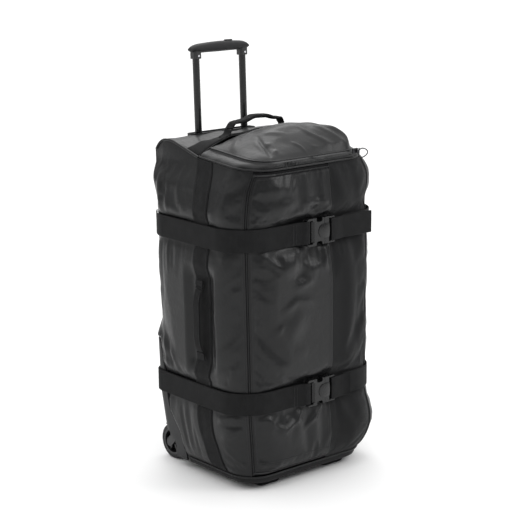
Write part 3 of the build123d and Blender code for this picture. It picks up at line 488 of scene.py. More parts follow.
def solidify(obj, thickness, offset=-1.0):
    modifier = obj.modifiers.new("wall", "SOLIDIFY")
    modifier.thickness = thickness
    modifier.offset = offset
    apply_modifiers(obj)


def apply_modifiers(obj):
    graph = bpy.context.evaluated_depsgraph_get()
    made = bpy.data.meshes.new_from_object(obj.evaluated_get(graph))
    old = obj.data
    obj.modifiers.clear()
    obj.data = made
    bpy.data.meshes.remove(old)


SHARP_ANGLE = 40


def finish_piece(obj, material, body="bag", replaces=()):
    """Give a piece its material, smooth faces, body and slot, and the CAD nodes that it replaces."""
    mesh = obj.data
    mesh.materials.clear()
    mesh.materials.append(material)
    mesh.polygons.foreach_set("use_smooth", [True] * len(mesh.polygons))
    mesh.set_sharp_from_angle(angle=math.radians(SHARP_ANGLE))
    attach(obj, body)
    if replaces:
        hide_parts(*replaces)
    return obj


def grid_faces(rows, columns, keep=None, flip=False):
    faces = []
    for i in range(rows - 1):
        for j in range(columns - 1):
            if keep is None or keep[i, j]:
                a, b = i * columns + j, i * columns + j + 1
                c, d = b + columns, a + columns
                faces.append((a, d, c, b) if flip else (a, b, c, d))
    return faces


def grid_piece(name, points, uvs, keep=None, wall=SKIN_WALL, flip=False):
    """A wall of even thickness behind a grid of points."""
    faces = grid_faces(*points.shape[:2], keep, flip)
    obj = new_object(name, points.reshape(-1, 3), faces, uvs.reshape(-1, 2))
    drop_loose(obj)
    solidify(obj, wall)
    return obj


def drop_loose(obj):
    editor = bmesh.new()
    editor.from_mesh(obj.data)
    bmesh.ops.delete(editor, geom=[v for v in editor.verts if not v.link_faces], context="VERTS")
    editor.to_mesh(obj.data)
    editor.free()


def unit(v):
    return v / np.maximum(np.linalg.norm(v, axis=-1, keepdims=True), 1e-12)


def frames(path, up=(0, 0, 1)):
    """Tangent and two steady cross directions along a path."""
    path = np.asarray(path, float)
    tangent = unit(np.gradient(path, axis=0))
    first = np.cross(tangent[0], up)
    if np.linalg.norm(first) < 1e-6:
        first = np.cross(tangent[0], (1, 0, 0))
    side = [first / np.linalg.norm(first)]
    for t in tangent[1:]:
        v = side[-1] - (side[-1] @ t) * t
        side.append(v / np.linalg.norm(v))
    side = np.array(side)
    return tangent, side, np.cross(tangent, side)


def ring_faces(count, sides):
    """Faces between rings of points along a path, with both ends closed."""
    faces = []
    for i in range(count - 1):
        for j in range(sides):
            k = (j + 1) % sides
            faces.append((i * sides + j, i * sides + k, (i + 1) * sides + k, (i + 1) * sides + j))
    faces.append(tuple(range(sides))[::-1])
    faces.append(tuple((count - 1) * sides + j for j in range(sides)))
    return faces


def tube(name, path, radius, sides=10):
    """A round piece along a path, with closed ends."""
    path = np.asarray(path, float)
    _, a, b = frames(path)
    angles = np.linspace(0, 2 * math.pi, sides, endpoint=False)
    ring = np.cos(angles)[None, :, None] * a[:, None] + np.sin(angles)[None, :, None] * b[:, None]
    points = path[:, None] + ring * radius
    length = run_length(path)
    uvs = [(u, radius * t) for u in length for t in angles]
    return new_object(name, points.reshape(-1, 3), ring_faces(len(path), sides), uvs)


def webbing(name, points, normals, thick, edge=0.35):
    """A flat woven strip: a closed slab on a grid of points, its long edges rounded off."""
    rows, columns = points.shape[:2]
    profile = np.ones(columns)
    profile[[0, -1]] = edge
    low = points + normals * thick * (1 - profile)[None, :, None] * 0.35
    high = points + normals * thick * profile[None, :, None]
    verts = np.concatenate([high.reshape(-1, 3), low.reshape(-1, 3)])
    base = rows * columns
    faces = []
    for i in range(rows - 1):
        for j in range(columns - 1):
            a, b = i * columns + j, i * columns + j + 1
            c, d = b + columns, a + columns
            faces.append((a, b, c, d))
            faces.append((base + a, base + d, base + c, base + b))
        a, d = i * columns, (i + 1) * columns
        faces.append((a, d, base + d, base + a))
        a, d = a + columns - 1, d + columns - 1
        faces.append((a, base + a, base + d, d))
    for j in range(columns - 1):
        faces.append((j, base + j, base + j + 1, j + 1))
        a = (rows - 1) * columns + j
        faces.append((a, a + 1, base + a + 1, base + a))
    middle = points[:, columns // 2]
    length = run_length(middle)
    across = run_length(points[0])
    uv = np.stack(np.meshgrid(length, across, indexing="ij"), -1).reshape(-1, 2)
    return new_object(name, verts, faces, np.concatenate([uv, uv]))


def strip_points(path, across, width, columns=9):
    """Grid of points of a flat strip along a path, and its normals."""
    path = np.asarray(path, float)
    tangent = unit(np.gradient(path, axis=0))
    across = np.broadcast_to(np.asarray(across, float), path.shape)
    across = unit(across - (across * tangent).sum(-1, keepdims=True) * tangent)
    normal = unit(np.cross(across, tangent))
    spread = np.r_[-0.5, -0.47, np.linspace(-0.4, 0.4, columns - 4), 0.47, 0.5] * width
    points = path[:, None] + spread[None, :, None] * across[:, None]
    return points, np.broadcast_to(normal[:, None], points.shape)


def joined(name, parts):
    """One object out of several."""
    made = bmesh.new()
    for part in parts:
        made.from_mesh(part.data)
    mesh = bpy.data.meshes.new(name)
    made.to_mesh(mesh)
    made.free()
    for part in parts:
        bpy.data.objects.remove(part)
    obj = bpy.data.objects.new(name, mesh)
    bpy.context.scene.collection.objects.link(obj)
    return obj


STITCH_SHAPE = [
    (-1, 0, 0),
    *[(x, math.cos(t), math.sin(t)) for x in (-0.6, 0.6) for t in (0.8, 2.4, 3.9, 5.5)],
    (1, 0, 0),
]
STITCH_FACES = (
    [(0, 1 + (k + 1) % 4, 1 + k) for k in range(4)]
    + [(1 + k, 1 + (k + 1) % 4, 5 + (k + 1) % 4, 5 + k) for k in range(4)]
    + [(5 + k, 5 + (k + 1) % 4, 9) for k in range(4)]
)


def stations(lines, pitch):
    """Evenly spaced places on lines of points and normals: each its point, tangent, cross way, normal."""
    for path, normals in lines:
        both = resample(np.concatenate([path, normals], axis=1), pitch)
        points, normal = both[:, :3], unit(both[:, 3:])
        tangent = unit(np.gradient(points, axis=0))
        yield zip(points, tangent, unit(np.cross(normal, tangent)), normal)


def stitches(name, lines, pitch=0.0042, length=0.0029, radius=0.00042):
    """Rows of thread stitches: each line is its points and the surface normals there."""
    verts, faces = [], []
    for line in stations(lines, pitch):
        for p, t, b, n in line:
            start = len(verts)
            for u, v, w in STITCH_SHAPE:
                verts.append(p + t * u * length / 2 + b * v * radius + n * (w * radius + radius * 0.3))
            faces += [tuple(start + k for k in face) for face in STITCH_FACES]
    return new_object(name, verts, faces)


def coil_teeth(name, lines, pitch=0.0021, width=0.0026, height=0.0011):
    """The coils of a closed zipper: small rounded bars across a line."""
    verts, faces = [], []
    for line in stations(lines, pitch):
        for k, (p, t, b, n) in enumerate(line):
            shift = b * (width * 0.22 * (1 if k % 2 else -1))
            start = len(verts)
            for u in (-0.36, 0.36):
                for v, w in ((-1, 0), (-0.8, 1), (0.8, 1), (1, 0)):
                    verts.append(p + shift + t * u * pitch + b * v * width / 2 + n * w * height)
            faces += [
                (start, start + 1, start + 2, start + 3),
                (start + 7, start + 6, start + 5, start + 4),
                (start, start + 4, start + 5, start + 1),
                (start + 1, start + 5, start + 6, start + 2),
                (start + 2, start + 6, start + 7, start + 3),
                (start + 3, start + 7, start + 4, start),
            ]
    return new_object(name, verts, faces)


# ---------------------------------------------------------------- materials


def set_inputs(node, values):
    for socket, value in values.items():
        node.inputs[socket].default_value = value


class Paint:
    """A Principled material with helpers for procedural colour, bump and roughness."""

    def __init__(self, name, colour, roughness, specular=0.5, metallic=0.0, sheen=0.0):
        self.material = bpy.data.materials.new(name)
        self.material.use_nodes = True
        self.nodes = self.material.node_tree.nodes
        self.links = self.material.node_tree.links
        self.shader = self.nodes["Principled BSDF"]
        self.colour = colour
        set_inputs(self.shader, {
            "Base Color": (*colour, 1),
            "Roughness": roughness,
            "Specular IOR Level": specular,
            "Metallic": metallic,
            "Sheen Weight": sheen,
        })
        self.coords = self.nodes.new("ShaderNodeTexCoord")
        self.height = None

    def noise(self, scale, detail=3, rough=0.5, distortion=0.0, stretch=None):
        texture = self.nodes.new("ShaderNodeTexNoise")
        set_inputs(texture, {"Scale": scale, "Detail": detail, "Roughness": rough, "Distortion": distortion})
        source = self.coords.outputs["Object"]
        if stretch:
            mapping = self.nodes.new("ShaderNodeMapping")
            mapping.inputs["Scale"].default_value = stretch
            self.links.new(source, mapping.inputs["Vector"])
            source = mapping.outputs["Vector"]
        self.links.new(source, texture.inputs["Vector"])
        return texture.outputs["Fac"]

    def math(self, operation, a, b=None):
        node = self.nodes.new("ShaderNodeMath")
        node.operation = operation
        for socket, value in zip(node.inputs, (a, b)):
            if value is None:
                continue
            if isinstance(value, (int, float)):
                socket.default_value = value
            else:
                self.links.new(value, socket)
        return node.outputs[0]

    def between(self, value, low, high):
        node = self.nodes.new("ShaderNodeMapRange")
        set_inputs(node, {"To Min": low, "To Max": high})
        self.links.new(value, node.inputs["Value"])
        return node.outputs["Result"]

    def mottle(self, scale, darker, lighter, stretch=None):
        """Base colour that wanders between a darker and a lighter tone."""
        ramp = self.nodes.new("ShaderNodeValToRGB")
        ramp.color_ramp.elements[0].position = 0.3
        ramp.color_ramp.elements[1].position = 0.7
        ramp.color_ramp.elements[0].color = (*[c * darker for c in self.colour], 1)
        ramp.color_ramp.elements[1].color = (*[c * lighter for c in self.colour], 1)
        self.links.new(self.noise(scale, 4, stretch=stretch), ramp.inputs["Fac"])
        self.links.new(ramp.outputs["Color"], self.shader.inputs["Base Color"])
        return self

    def roughness(self, scale, low, high, stretch=None):
        value = self.between(self.noise(scale, 3, stretch=stretch), low, high)
        self.links.new(value, self.shader.inputs["Roughness"])
        return self

    def bump(self, value, distance, strength=1.0):
        node = self.nodes.new("ShaderNodeBump")
        set_inputs(node, {"Distance": distance, "Strength": strength})
        self.links.new(value, node.inputs["Height"])
        if self.height is not None:
            self.links.new(self.height, node.inputs["Normal"])
        self.height = node.outputs["Normal"]
        self.links.new(self.height, self.shader.inputs["Normal"])
        return self

    def threads(self, along, across):
        """Woven threads from the UV map, which is in metres: a wave along it, across it, or both."""
        split = self.nodes.new("ShaderNodeSeparateXYZ")
        self.links.new(self.coords.outputs["UV"], split.inputs[0])
        waves = []
        for output, pitch in (("X", along), ("Y", across)):
            if pitch:
                turn = self.math("MULTIPLY", split.outputs[output], 2 * math.pi / pitch)
                waves.append(self.math("SINE", turn))
        if len(waves) == 2:
            return self.math("MULTIPLY", waves[0], waves[1])
        return waves[0]


def coated_fabric():
    paint = Paint("coated_fabric", (0.0062, 0.0064, 0.0068), 0.36, specular=0.30)
    paint.mottle(9, 0.80, 1.22)
    paint.roughness(14, 0.28, 0.40)
    paint.bump(paint.noise(38, 5, 0.55, 0.6), 0.0016, 0.55)
    paint.bump(paint.noise(170, 3, 0.5), 0.00035, 0.5)
    paint.bump(paint.threads(0.0016, 0.0016), 0.00006, 0.5)
    return paint.material


def matte_fabric():
    paint = Paint("matte_fabric", (0.0080, 0.0082, 0.0087), 0.86, specular=0.22, sheen=0.06)
    paint.mottle(16, 0.82, 1.18)
    paint.bump(paint.noise(45, 4, 0.5, 0.4), 0.0012, 0.5)
    paint.bump(paint.threads(0.0012, 0.0012), 0.00012, 0.8)
    return paint.material


def webbing_fabric():
    paint = Paint("webbing", (0.0075, 0.0076, 0.0080), 0.72, specular=0.18)
    paint.mottle(60, 0.78, 1.25)
    paint.bump(paint.threads(0.0027, None), 0.00035, 0.8)
    paint.bump(paint.threads(None, 0.0016), 0.00012, 0.5)
    paint.bump(paint.noise(700, 2), 0.0001, 0.5)
    return paint.material


def lining_fabric():
    paint = Paint("lining_fabric", (0.030, 0.031, 0.034), 0.8, specular=0.3)
    paint.mottle(20, 0.85, 1.15)
    paint.bump(paint.threads(0.002, 0.002), 0.0001, 0.6)
    return paint.material


def plain(name, colour, roughness, grain=900, depth=0.00008, specular=0.5, metallic=0.0):
    """Plain plastic, rubber or metal with a slight grain."""
    paint = Paint(name, colour, roughness, specular, metallic)
    paint.mottle(30, 0.88, 1.12)
    paint.roughness(55, max(roughness - 0.06, 0.02), roughness + 0.07)
    paint.bump(paint.noise(grain, 2), depth, 0.6)
    return paint.material


COATED = coated_fabric()
MATTE = matte_fabric()
WEBBING = webbing_fabric()
LINING = lining_fabric()
PIPING = plain("piping", (0.005, 0.0051, 0.0055), 0.36, 400, 0.0002, 0.3)
TAPE = plain("zip_tape", (0.006, 0.006, 0.0065), 0.85, 1200, 0.0002, 0.25)
COIL = plain("zip_coil", (0.012, 0.012, 0.013), 0.42, 1500, 0.00003)
THREAD = plain("thread", (0.016, 0.016, 0.017), 0.55, 2500, 0.00005)
ZIP_METAL = plain("zip_metal", (0.03, 0.03, 0.033), 0.32, 900, 0.00003, metallic=0.6)
PULL_TAB = plain("pull_tab", (0.014, 0.014, 0.015), 0.6, 900, 0.0001)
BUCKLE = plain("buckle_plastic", (0.006, 0.0062, 0.0066), 0.27, 1100, 0.00004, 0.36)
HOUSING = plain("housing_plastic", (0.010, 0.0103, 0.011), 0.50, 900, 0.00016, 0.35)
TRAY = plain("tray_plastic", (0.006, 0.006, 0.0065), 0.55, 700, 0.00018, 0.25)
FOOT = plain("foot_rubber", (0.008, 0.008, 0.0085), 0.75, 600, 0.0002, 0.2)
HUB = plain("hub_plastic", (0.013, 0.0133, 0.014), 0.42, 1000, 0.00008)
TYRE = plain("tyre_rubber", (0.014, 0.014, 0.015), 0.62, 500, 0.0002, 0.35)
STEEL = plain("axle_steel", (0.42, 0.42, 0.44), 0.30, 900, 0.00003, metallic=1.0)
SLEEVE = plain("sleeve_aluminium", (0.34, 0.35, 0.37), 0.38, 900, 0.00003, metallic=1.0)
TUBE_BLACK = plain("tube_black", (0.006, 0.006, 0.0065), 0.20, 600, 0.00002, 0.42)
COLLAR = plain("collar_plastic", (0.015, 0.0153, 0.016), 0.42, 1000, 0.0001)
GRIP = plain("grip_plastic", (0.011, 0.0112, 0.012), 0.55, 800, 0.00018, 0.3)
BUTTON = plain("button_plastic", (0.015, 0.0153, 0.016), 0.40, 1000, 0.0001)
SCREW = plain("screw_steel", (0.75, 0.75, 0.78), 0.16, 900, 0.00002, metallic=1.0)

HARD_NODES = (
    (TRAY, "base_tray inner_back_board"),
    (FOOT, "front_feet"),
    (HOUSING, "kick_plate trolley_foot trolley_bezel left_wheel_housing right_wheel_housing"),
    (COLLAR, "left_axle_arm right_axle_arm tube_collars handle_yoke"),
    (HUB, "left_wheel_hub right_wheel_hub"),
    (TYRE, "left_tyre right_tyre"),
    (STEEL, "wheel_axles"),
    (SLEEVE, "outer_tubes"),
    (TUBE_BLACK, "middle_tubes inner_tubes"),
    (GRIP, "grip"),
    (SCREW, "grip_screws"),
    (BUTTON, "release_button"),
    (BUCKLE, "upper_buckle_female upper_buckle_male lower_buckle_female lower_buckle_male"),
    (ZIP_METAL, "pocket_slider main_slider_lower main_slider_upper"),
)
for paint, nodes in HARD_NODES:
    for node in nodes.split():
        for material_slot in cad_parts[node].material_slots:
            material_slot.material = paint


# ---------------------------------------------------------------- the body's panels

SIM_COLUMNS, SIM_ROWS = 150, 96
SIM_LOW, SIM_HIGH = 0.034, 0.712
# The simulated displacement is limited to this much inwards and outwards.
SIM_IN, SIM_OUT = -0.007, 0.009


def simulate_skin():
    """Cloth simulation of the whole skin, pinned at its seams and under the straps."""
    share = np.linspace(-1, 1, SIM_COLUMNS)
    z = np.linspace(SIM_LOW, SIM_HIGH, SIM_ROWS)
    zz, ss = np.meshgrid(z, share, indexing="ij")
    s = ss * back_seam(zz)
    start, normal = plan_point(s, zz)
    cloth = new_object("skin_cloth", start.reshape(-1, 3), grid_faces(SIM_ROWS, SIM_COLUMNS))
    held = np.abs(np.abs(s) - front_seam(zz)) < 0.0045
    held |= np.abs(ss) > 0.99
    held[[0, -1]] = True
    for strap_z in (UPPER_STRAP_Z, LOWER_STRAP_Z):
        held |= np.abs(zz - strap_z) < STRAP_WIDTH / 2
    group = cloth.vertex_groups.new(name="held")
    group.add([int(k) for k in np.flatnonzero(held.ravel())], 1.0, "REPLACE")
    modifier = cloth.modifiers.new("Cloth", "CLOTH")
    settings = modifier.settings
    settings.quality = 5
    settings.mass = 0.35
    settings.tension_stiffness = settings.compression_stiffness = 18
    settings.shear_stiffness = 6
    settings.bending_stiffness = 1.2
    settings.tension_damping = settings.compression_damping = 8
    settings.air_damping = 3
    settings.shrink_min = -0.018
    settings.use_pressure = True
    settings.uniform_pressure_force = 1.6
    settings.vertex_group_mass = "held"
    settings.pin_stiffness = 1.0
    settings.effector_weights.gravity = 0.15
    modifier.collision_settings.use_collision = False
    modifier.point_cache.frame_start = 1
    modifier.point_cache.frame_end = 24
    scene = bpy.context.scene
    for step in range(1, 23):
        scene.frame_set(step)
    made = cloth.evaluated_get(bpy.context.evaluated_depsgraph_get()).to_mesh()
    moved = np.zeros(len(made.vertices) * 3)
    made.vertices.foreach_get("co", moved)
    moved = moved.reshape(SIM_ROWS, SIM_COLUMNS, 3)
    scene.frame_set(1)
    bpy.data.objects.remove(cloth)
    out = ((moved - start) * normal).sum(-1)
    print("cloth moved", float(out.min()), float(out.max()), float(np.abs(out).mean()))
    out = np.clip(out, SIM_IN, SIM_OUT)

    def lookup(part, height):
        """Displacement at a signed share of the way round and at a height."""
        i = np.clip((height - SIM_LOW) / (SIM_HIGH - SIM_LOW) * (SIM_ROWS - 1), 0, SIM_ROWS - 1.001)
        j = np.clip((part + 1) / 2 * (SIM_COLUMNS - 1), 0, SIM_COLUMNS - 1.001)
        a, b = i.astype(int), j.astype(int)
        u, v = i - a, j - b
        low = out[a, b] * (1 - v) + out[a, b + 1] * v
        high = out[a + 1, b] * (1 - v) + out[a + 1, b + 1] * v
        return low * (1 - u) + high * u

    return lookup


SIM = simulate_skin()


def skin(s, z, lift=0.0):
    """Point and outward direction on the folded skin."""
    point, normal = plan_point(s, z)
    return point + normal * (relief(s, z, SIM) + lift)[..., None], normal


def even(count, crowd=0.0):
    """From 0 to 1, closer together near both ends."""
    t = np.linspace(0, 1, count)
    return t - crowd * np.sin(2 * math.pi * t) / (2 * math.pi)


def panel_grid(left, right, low, high, columns, rows):
    """Grid of a panel between two seam lines, which are functions of height, up to an edge height."""
    u = even(columns, 0.6)
    v = even(rows, 0.3)
    reference = 0.70
    at = left(reference) + (right(reference) - left(reference)) * u
    top = high(plan_point(at, np.full(columns, reference))[0][:, 1])
    z = low + v[:, None] * (top - low)[None, :]
    s = left(z) + (right(z) - left(z)) * u[None, :]
    return s, z


def body_panel(name, left, right, low, high, columns, rows, material, node):
    """A panel of the skin, left open behind the wheel housings."""
    s, z = panel_grid(left, right, low, high, columns, rows)
    points, _ = skin(s, z)
    uvs = np.stack([s, z], -1)
    y, height = points[..., 1], points[..., 2]
    middle_y = (y[:-1, :-1] + y[1:, 1:]) / 2
    middle_z = (height[:-1, :-1] + height[1:, 1:]) / 2
    keep = inside_housing(middle_y, middle_z) < HOUSING_OVERLAP
    piece = grid_piece(name, points, uvs, keep)
    return finish_piece(piece, material, replaces=[node])


def level(height):
    return lambda y: np.full(np.shape(y), height)


def flap_edge(z, beyond=0.0):
    """Distance round from the front's middle of the flap's straight right edge."""
    return np.full(np.shape(z), FLAP_EDGE + beyond)


body_panel("left_side", lambda z: -back_seam(z), lambda z: -front_seam(z) - ZIP_HALF, SKIN_LOW,
           under_gable, 130, 170, COATED, "left_side_panel")
body_panel("right_side", lambda z: front_seam(z), back_seam, SKIN_LOW,
           under_gable, 130, 170, COATED, "right_side_panel")
body_panel("front_flap_skin", lambda z: -front_seam(z) + ZIP_HALF, flap_edge,
           FLAP_LOW, level(FLAP_HIGH), 90, 170, COATED, "front_flap")
body_panel("front_matte_skin", lambda z: flap_edge(z, 0.0006), lambda z: front_seam(z) - 0.0006,
           SKIN_LOW, under_gable, 60, 170, MATTE, "front_matte_panel")


def back_skin():
    """The padded back panel with its rows of quilting, left open behind the wheel housings."""
    x = np.linspace(-BACK_SEAM_X + 0.0005, BACK_SEAM_X - 0.0005, 90)
    z = np.linspace(SKIN_LOW, 0.705, 150)
    zz, xx = np.meshgrid(z, x, indexing="ij")
    pad = (1 - np.abs(xx / BACK_SEAM_X) ** 6) * rising(zz, 0.125, 0.05) * falling(zz, 0.70, 0.03)
    quilt = 0.0012 * np.abs(np.sin(xx / 0.062 * math.pi)) ** 0.5
    waves = 0.0008 * np.sin(zz * 31 + 2 * np.sin(xx * 19)) * np.sin(xx * 37 + 1)
    y = back_y(zz) + pad * (0.0022 + quilt + waves) - 0.0004
    points = np.stack([xx, y, zz], -1)
    middle_x = np.abs(xx[:-1, :-1] + xx[1:, 1:]) / 2
    middle_z = (zz[:-1, :-1] + zz[1:, 1:]) / 2
    keep = (middle_x < 0.1165) | (middle_z > SOFT_LOW)
    piece = grid_piece("back_skin", points, np.stack([xx, zz], -1), keep, flip=True)
    finish_piece(piece, MATTE, replaces=["back_panel"])
    lines = []
    for seam_x in (-0.124, -0.062, 0.0, 0.062, 0.124):
        height = np.linspace(0.315 if abs(seam_x) > 0.11 else 0.13, 0.69, 200)
        line = np.stack([np.full(200, seam_x), back_y(height) + 0.0022, height], -1)
        lines.append((line, np.tile((0.0, 1.0, 0.0), (200, 1))))
    finish_piece(stitches("back_stitches", lines), THREAD)


back_skin()

# ---------------------------------------------------------------- shoulder, top band and crown

CROWN_HALF = 0.1688
CROWN_X = np.linspace(0, CROWN_HALF, 60)
CROWN_SHARE = (1 - (CROWN_X / CROWN_HALF) ** 2.1) ** 0.72


def crown(x):
    """Share of the shoulder's full rise at a distance from the middle: 1 there, 0 at the sides."""
    return np.interp(np.abs(x), CROWN_X, CROWN_SHARE)


def shoulder_section(share):
    """Upper face of the shoulder at one place of the crown, front to back, as (y, z)."""
    corners = [
        (0.002, 0.725 + 0.046 * share),
        (0.055, 0.740 + 0.017 * share),
        (0.100, 0.7530 + 0.003 * share),
        (0.1545, 0.7515),
        (0.1555, 0.706),
    ]
    return fillet_path(corners, [0.090, 0.120, 0.026], 0.003)


def shoulder_wave(x, y):
    """Slight unevenness of the shoulder, with a fold and a dent on its left."""
    return (
        0.0016 * np.sin(x * 46 + y * 30) * np.sin(y * 52 + 1.0)
        + 0.0010 * np.sin(x * 83 - y * 41 + 2)
        + 0.0022 * bump_at(x, -0.125 + 0.4 * (y - 0.06), 0.010) * bump_at(y, 0.070, 0.03)
        - 0.0022 * bump_at(x, -0.100 + 0.5 * (y - 0.06), 0.009) * bump_at(y, 0.075, 0.03)
    )


def shoulder_grid(low_y=None, high_y=None, lift=0.0, rows=64, columns=120):
    """Grid over the shoulder down to its back edge, or only between two depths."""
    x = np.linspace(-0.1690, 0.1690, columns)
    points = []
    for value in x:
        path = shoulder_section(float(crown(value)))
        if low_y is not None:
            inside = path[(path[:, 1] > 0.72) | (path[:, 0] < 0.12)]
            y = np.linspace(low_y, high_y, rows)
            climb = inside[: int(np.argmax(inside[:, 0])) + 1]
            line = np.stack([y, np.interp(y, climb[:, 0], climb[:, 1])], -1)
        else:
            length = run_length(path)
            at = np.linspace(0, length[-1], rows)
            line = np.stack([np.interp(at, length, path[:, k]) for k in (0, 1)], -1)
        calm = falling(line[:, 0], 0.150, 0.03) * falling(abs(value), 0.165, 0.02)
        height = line[:, 1] + calm * shoulder_wave(value, line[:, 0]) + lift
        points.append(np.stack([np.full(rows, value), line[:, 0], height], -1))
    return np.array(points).transpose(1, 0, 2)


def shoulder():
    """The shoulder's skin, left open under the trolley's bezel."""
    points = shoulder_grid()
    x = (points[:-1, :-1, 0] + points[1:, 1:, 0]) / 2
    y = (points[:-1, :-1, 1] + points[1:, 1:, 1]) / 2
    z = (points[:-1, :-1, 2] + points[1:, 1:, 2]) / 2
    low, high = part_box("trolley_bezel")
    under = (np.abs(x) < high.x - 0.004) & (y > low.y + 0.003) & (y < high.y - 0.003) & (z > 0.735)
    uvs = np.stack([points[..., 0], points[..., 1] + points[..., 2]], -1)
    piece = grid_piece("shoulder_skin", points, uvs, ~under)
    finish_piece(piece, COATED, replaces=["shoulder_panel"])


shoulder()


def top_band():
    """The webbing over the top, just behind the pocket."""
    grid = shoulder_grid(0.005, 0.050, 0.0006, rows=15, columns=130)
    points = grid.transpose(1, 0, 2)
    normals = np.tile((0.0, -0.25, 0.968), (*points.shape[:2], 1))
    piece = webbing("top_band_web", points, normals, 0.0018)
    finish_piece(piece, WEBBING, replaces=["top_band"])


top_band()


# The vertical band's middle: height and y.
BAND_LINE = np.array([
    (0.030, -0.064),
    (0.082, -0.056),
    (0.135, -0.041),
    (0.190, -0.036),
    (0.300, -0.040),
    (0.600, -0.042),
    (0.670, -0.036),
    (0.730, -0.021),
])


def side_band(side):
    """The vertical webbing up one side, with its two rows of stitches."""
    z = np.linspace(0.037, 0.727, 230)
    across = np.r_[-0.5, -0.47, np.linspace(-0.4, 0.4, 9), 0.47, 0.5] * BAND_WIDTH
    half, front, r, _ = body_row(z)
    middle = hermite(z, BAND_LINE[:, 0], BAND_LINE[:, 1])
    start = half - r + r * math.pi / 2 + middle + front - r
    s = side * (start[:, None] + across[None, :])
    zz = np.repeat(z[:, None], len(across), 1)
    top = gable_z(BAND_LINE[-1, 1] + across)[None, :] - 0.0015
    zz = SKIN_LOW + 0.002 + (zz - 0.037) * ((top - SKIN_LOW - 0.002) / 0.690)
    points, normals = skin(s, zz, 0.0004)
    if side < 0:
        points, normals = points[:, ::-1], normals[:, ::-1]
    name = SIDE_NAMES[side]
    piece = webbing(name + "_band_web", points, normals, BAND_THICK)
    node = name + "_side_band"
    finish_piece(piece, WEBBING, replaces=[node])
    lines = []
    for k in (2, len(across) - 3):
        lines.append((points[:, k] + normals[:, k] * BAND_THICK, normals[:, k]))
    finish_piece(stitches(node + "_stitches", lines), THREAD)


side_band(-1)
side_band(1)


# ---------------------------------------------------------------- piping


def pocket_z(y, height=0.0):
    """Height on the sloping plane of the top pocket."""
    return VALLEY_Z + (np.asarray(y) + 0.002) * TOP_SLOPE + height


def open_loop(half, front, back, radius, step=0.004):
    return fillet_path([(-half, back), (-half, -front), (half, -front), (half, back)], [radius, radius], step)


def pipings():
    """The piping round the base, round the pocket's foot and along the edge of each side panel."""
    low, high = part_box("base_piping")
    r = (high.z - low.z) / 2
    plan = open_loop(high.x - r, -low.y - r, high.y, 0.060)
    path = np.column_stack([plan, np.full(len(plan), (low.z + high.z) / 2)])
    finish_piece(tube("base_welt", path, r, 12), PIPING, replaces=["base_piping"])
    low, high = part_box("top_piping")
    plan = open_loop(high.x - r, -low.y - r, 0.0, 0.070)
    path = np.column_stack([plan, pocket_z(plan[:, 1], 0.0013)])
    finish_piece(tube("top_welt", path, r, 12), PIPING, replaces=["top_piping"])
    r = SIDE_WELT_R
    edge_s, edge_z = panel_grid(front_seam, back_seam, SOFT_LOW, under_gable, 130, 170)
    parts = []
    for side in (-1, 1):
        points, normals = skin(side * edge_s, edge_z)
        points = points + normals * 0.0002
        climb = points[:, -1]
        over = points[-1, ::-1]
        line = np.concatenate([climb[climb[:, 2] > 0.306], over[over[:, 1] > 0.0015][1:]])
        parts.append(tube("part", spline(line[::3], 0.003), r, 12))
    finish_piece(joined("side_welts", parts), PIPING, replaces=["side_piping"])


pipings()


def seam_line(side, offset, low, high, lift, count=220):
    """Points and normals up a front corner seam, a distance to one side of it."""
    z = np.linspace(low, high, count)
    s = side * front_seam(z) + offset
    return skin(s, z, lift)


def corner_details():
    """Rolled edges beside the zipper, the right corner's welt, and rows of stitches."""
    for name, offset, low, high in (
        ("side_rolled_edge", -ZIP_HALF - 0.0006, 0.036, 0.712),
        ("flap_rolled_edge", ZIP_HALF + 0.0006, FLAP_LOW, FLAP_HIGH),
    ):
        path, _ = seam_line(-1, offset, low, high, 0.0002)
        finish_piece(tube(name, path, 0.0015, 8), COATED)
    path, _ = seam_line(1, 0.0, 0.036, 0.712, 0.0006)
    finish_piece(tube("right_corner_welt", path, 0.0020, 10), PIPING)
    lines = []
    for offset in (-ZIP_HALF - 0.006, ZIP_HALF + 0.006):
        lines.append(seam_line(-1, offset, 0.064, 0.692, 0.0001))
    for offset in (-0.0065, 0.0065):
        lines.append(seam_line(1, offset, 0.050, 0.700, 0.0001))
    z = np.linspace(0.062, 0.694, 220)
    for offset in (-0.003, -0.008):
        lines.append(skin(np.full(220, FLAP_EDGE + offset), z, 0.0001))
    for height in (FLAP_LOW + 0.004, FLAP_HIGH - 0.004):
        s = np.linspace(-float(front_seam(height)) + 0.006, FLAP_EDGE - 0.004, 160)
        lines.append(skin(s, np.full(160, height), 0.0001))
    finish_piece(stitches("front_stitches", lines), THREAD)
    s = np.linspace(-0.160, 0.040, 120)
    line, _ = skin(s, 0.066 - 0.02 * (s + 0.06) * 0.2, 0.0002)
    finish_piece(tube("flap_low_seam", line, 0.0006, 6), COATED)


corner_details()


def housing_welts():
    """The dark welt between the fabric and each wheel housing."""
    line = spline(HOUSING_LINE[1:9], 0.003)
    line = line[line[:, 1] > 0.036]
    for side, name in SIDE_NAMES.items():
        half, front, r, _ = body_row(line[:, 1])
        s = half - r + r * math.pi / 2 + line[:, 0] + front - r
        point, normal = plan_point(side * s, line[:, 1])
        point = point + normal * 0.0008
        finish_piece(tube(name + "_housing_welt", point, 0.0030, 10), TAPE)


housing_welts()


# ---------------------------------------------------------------- zippers


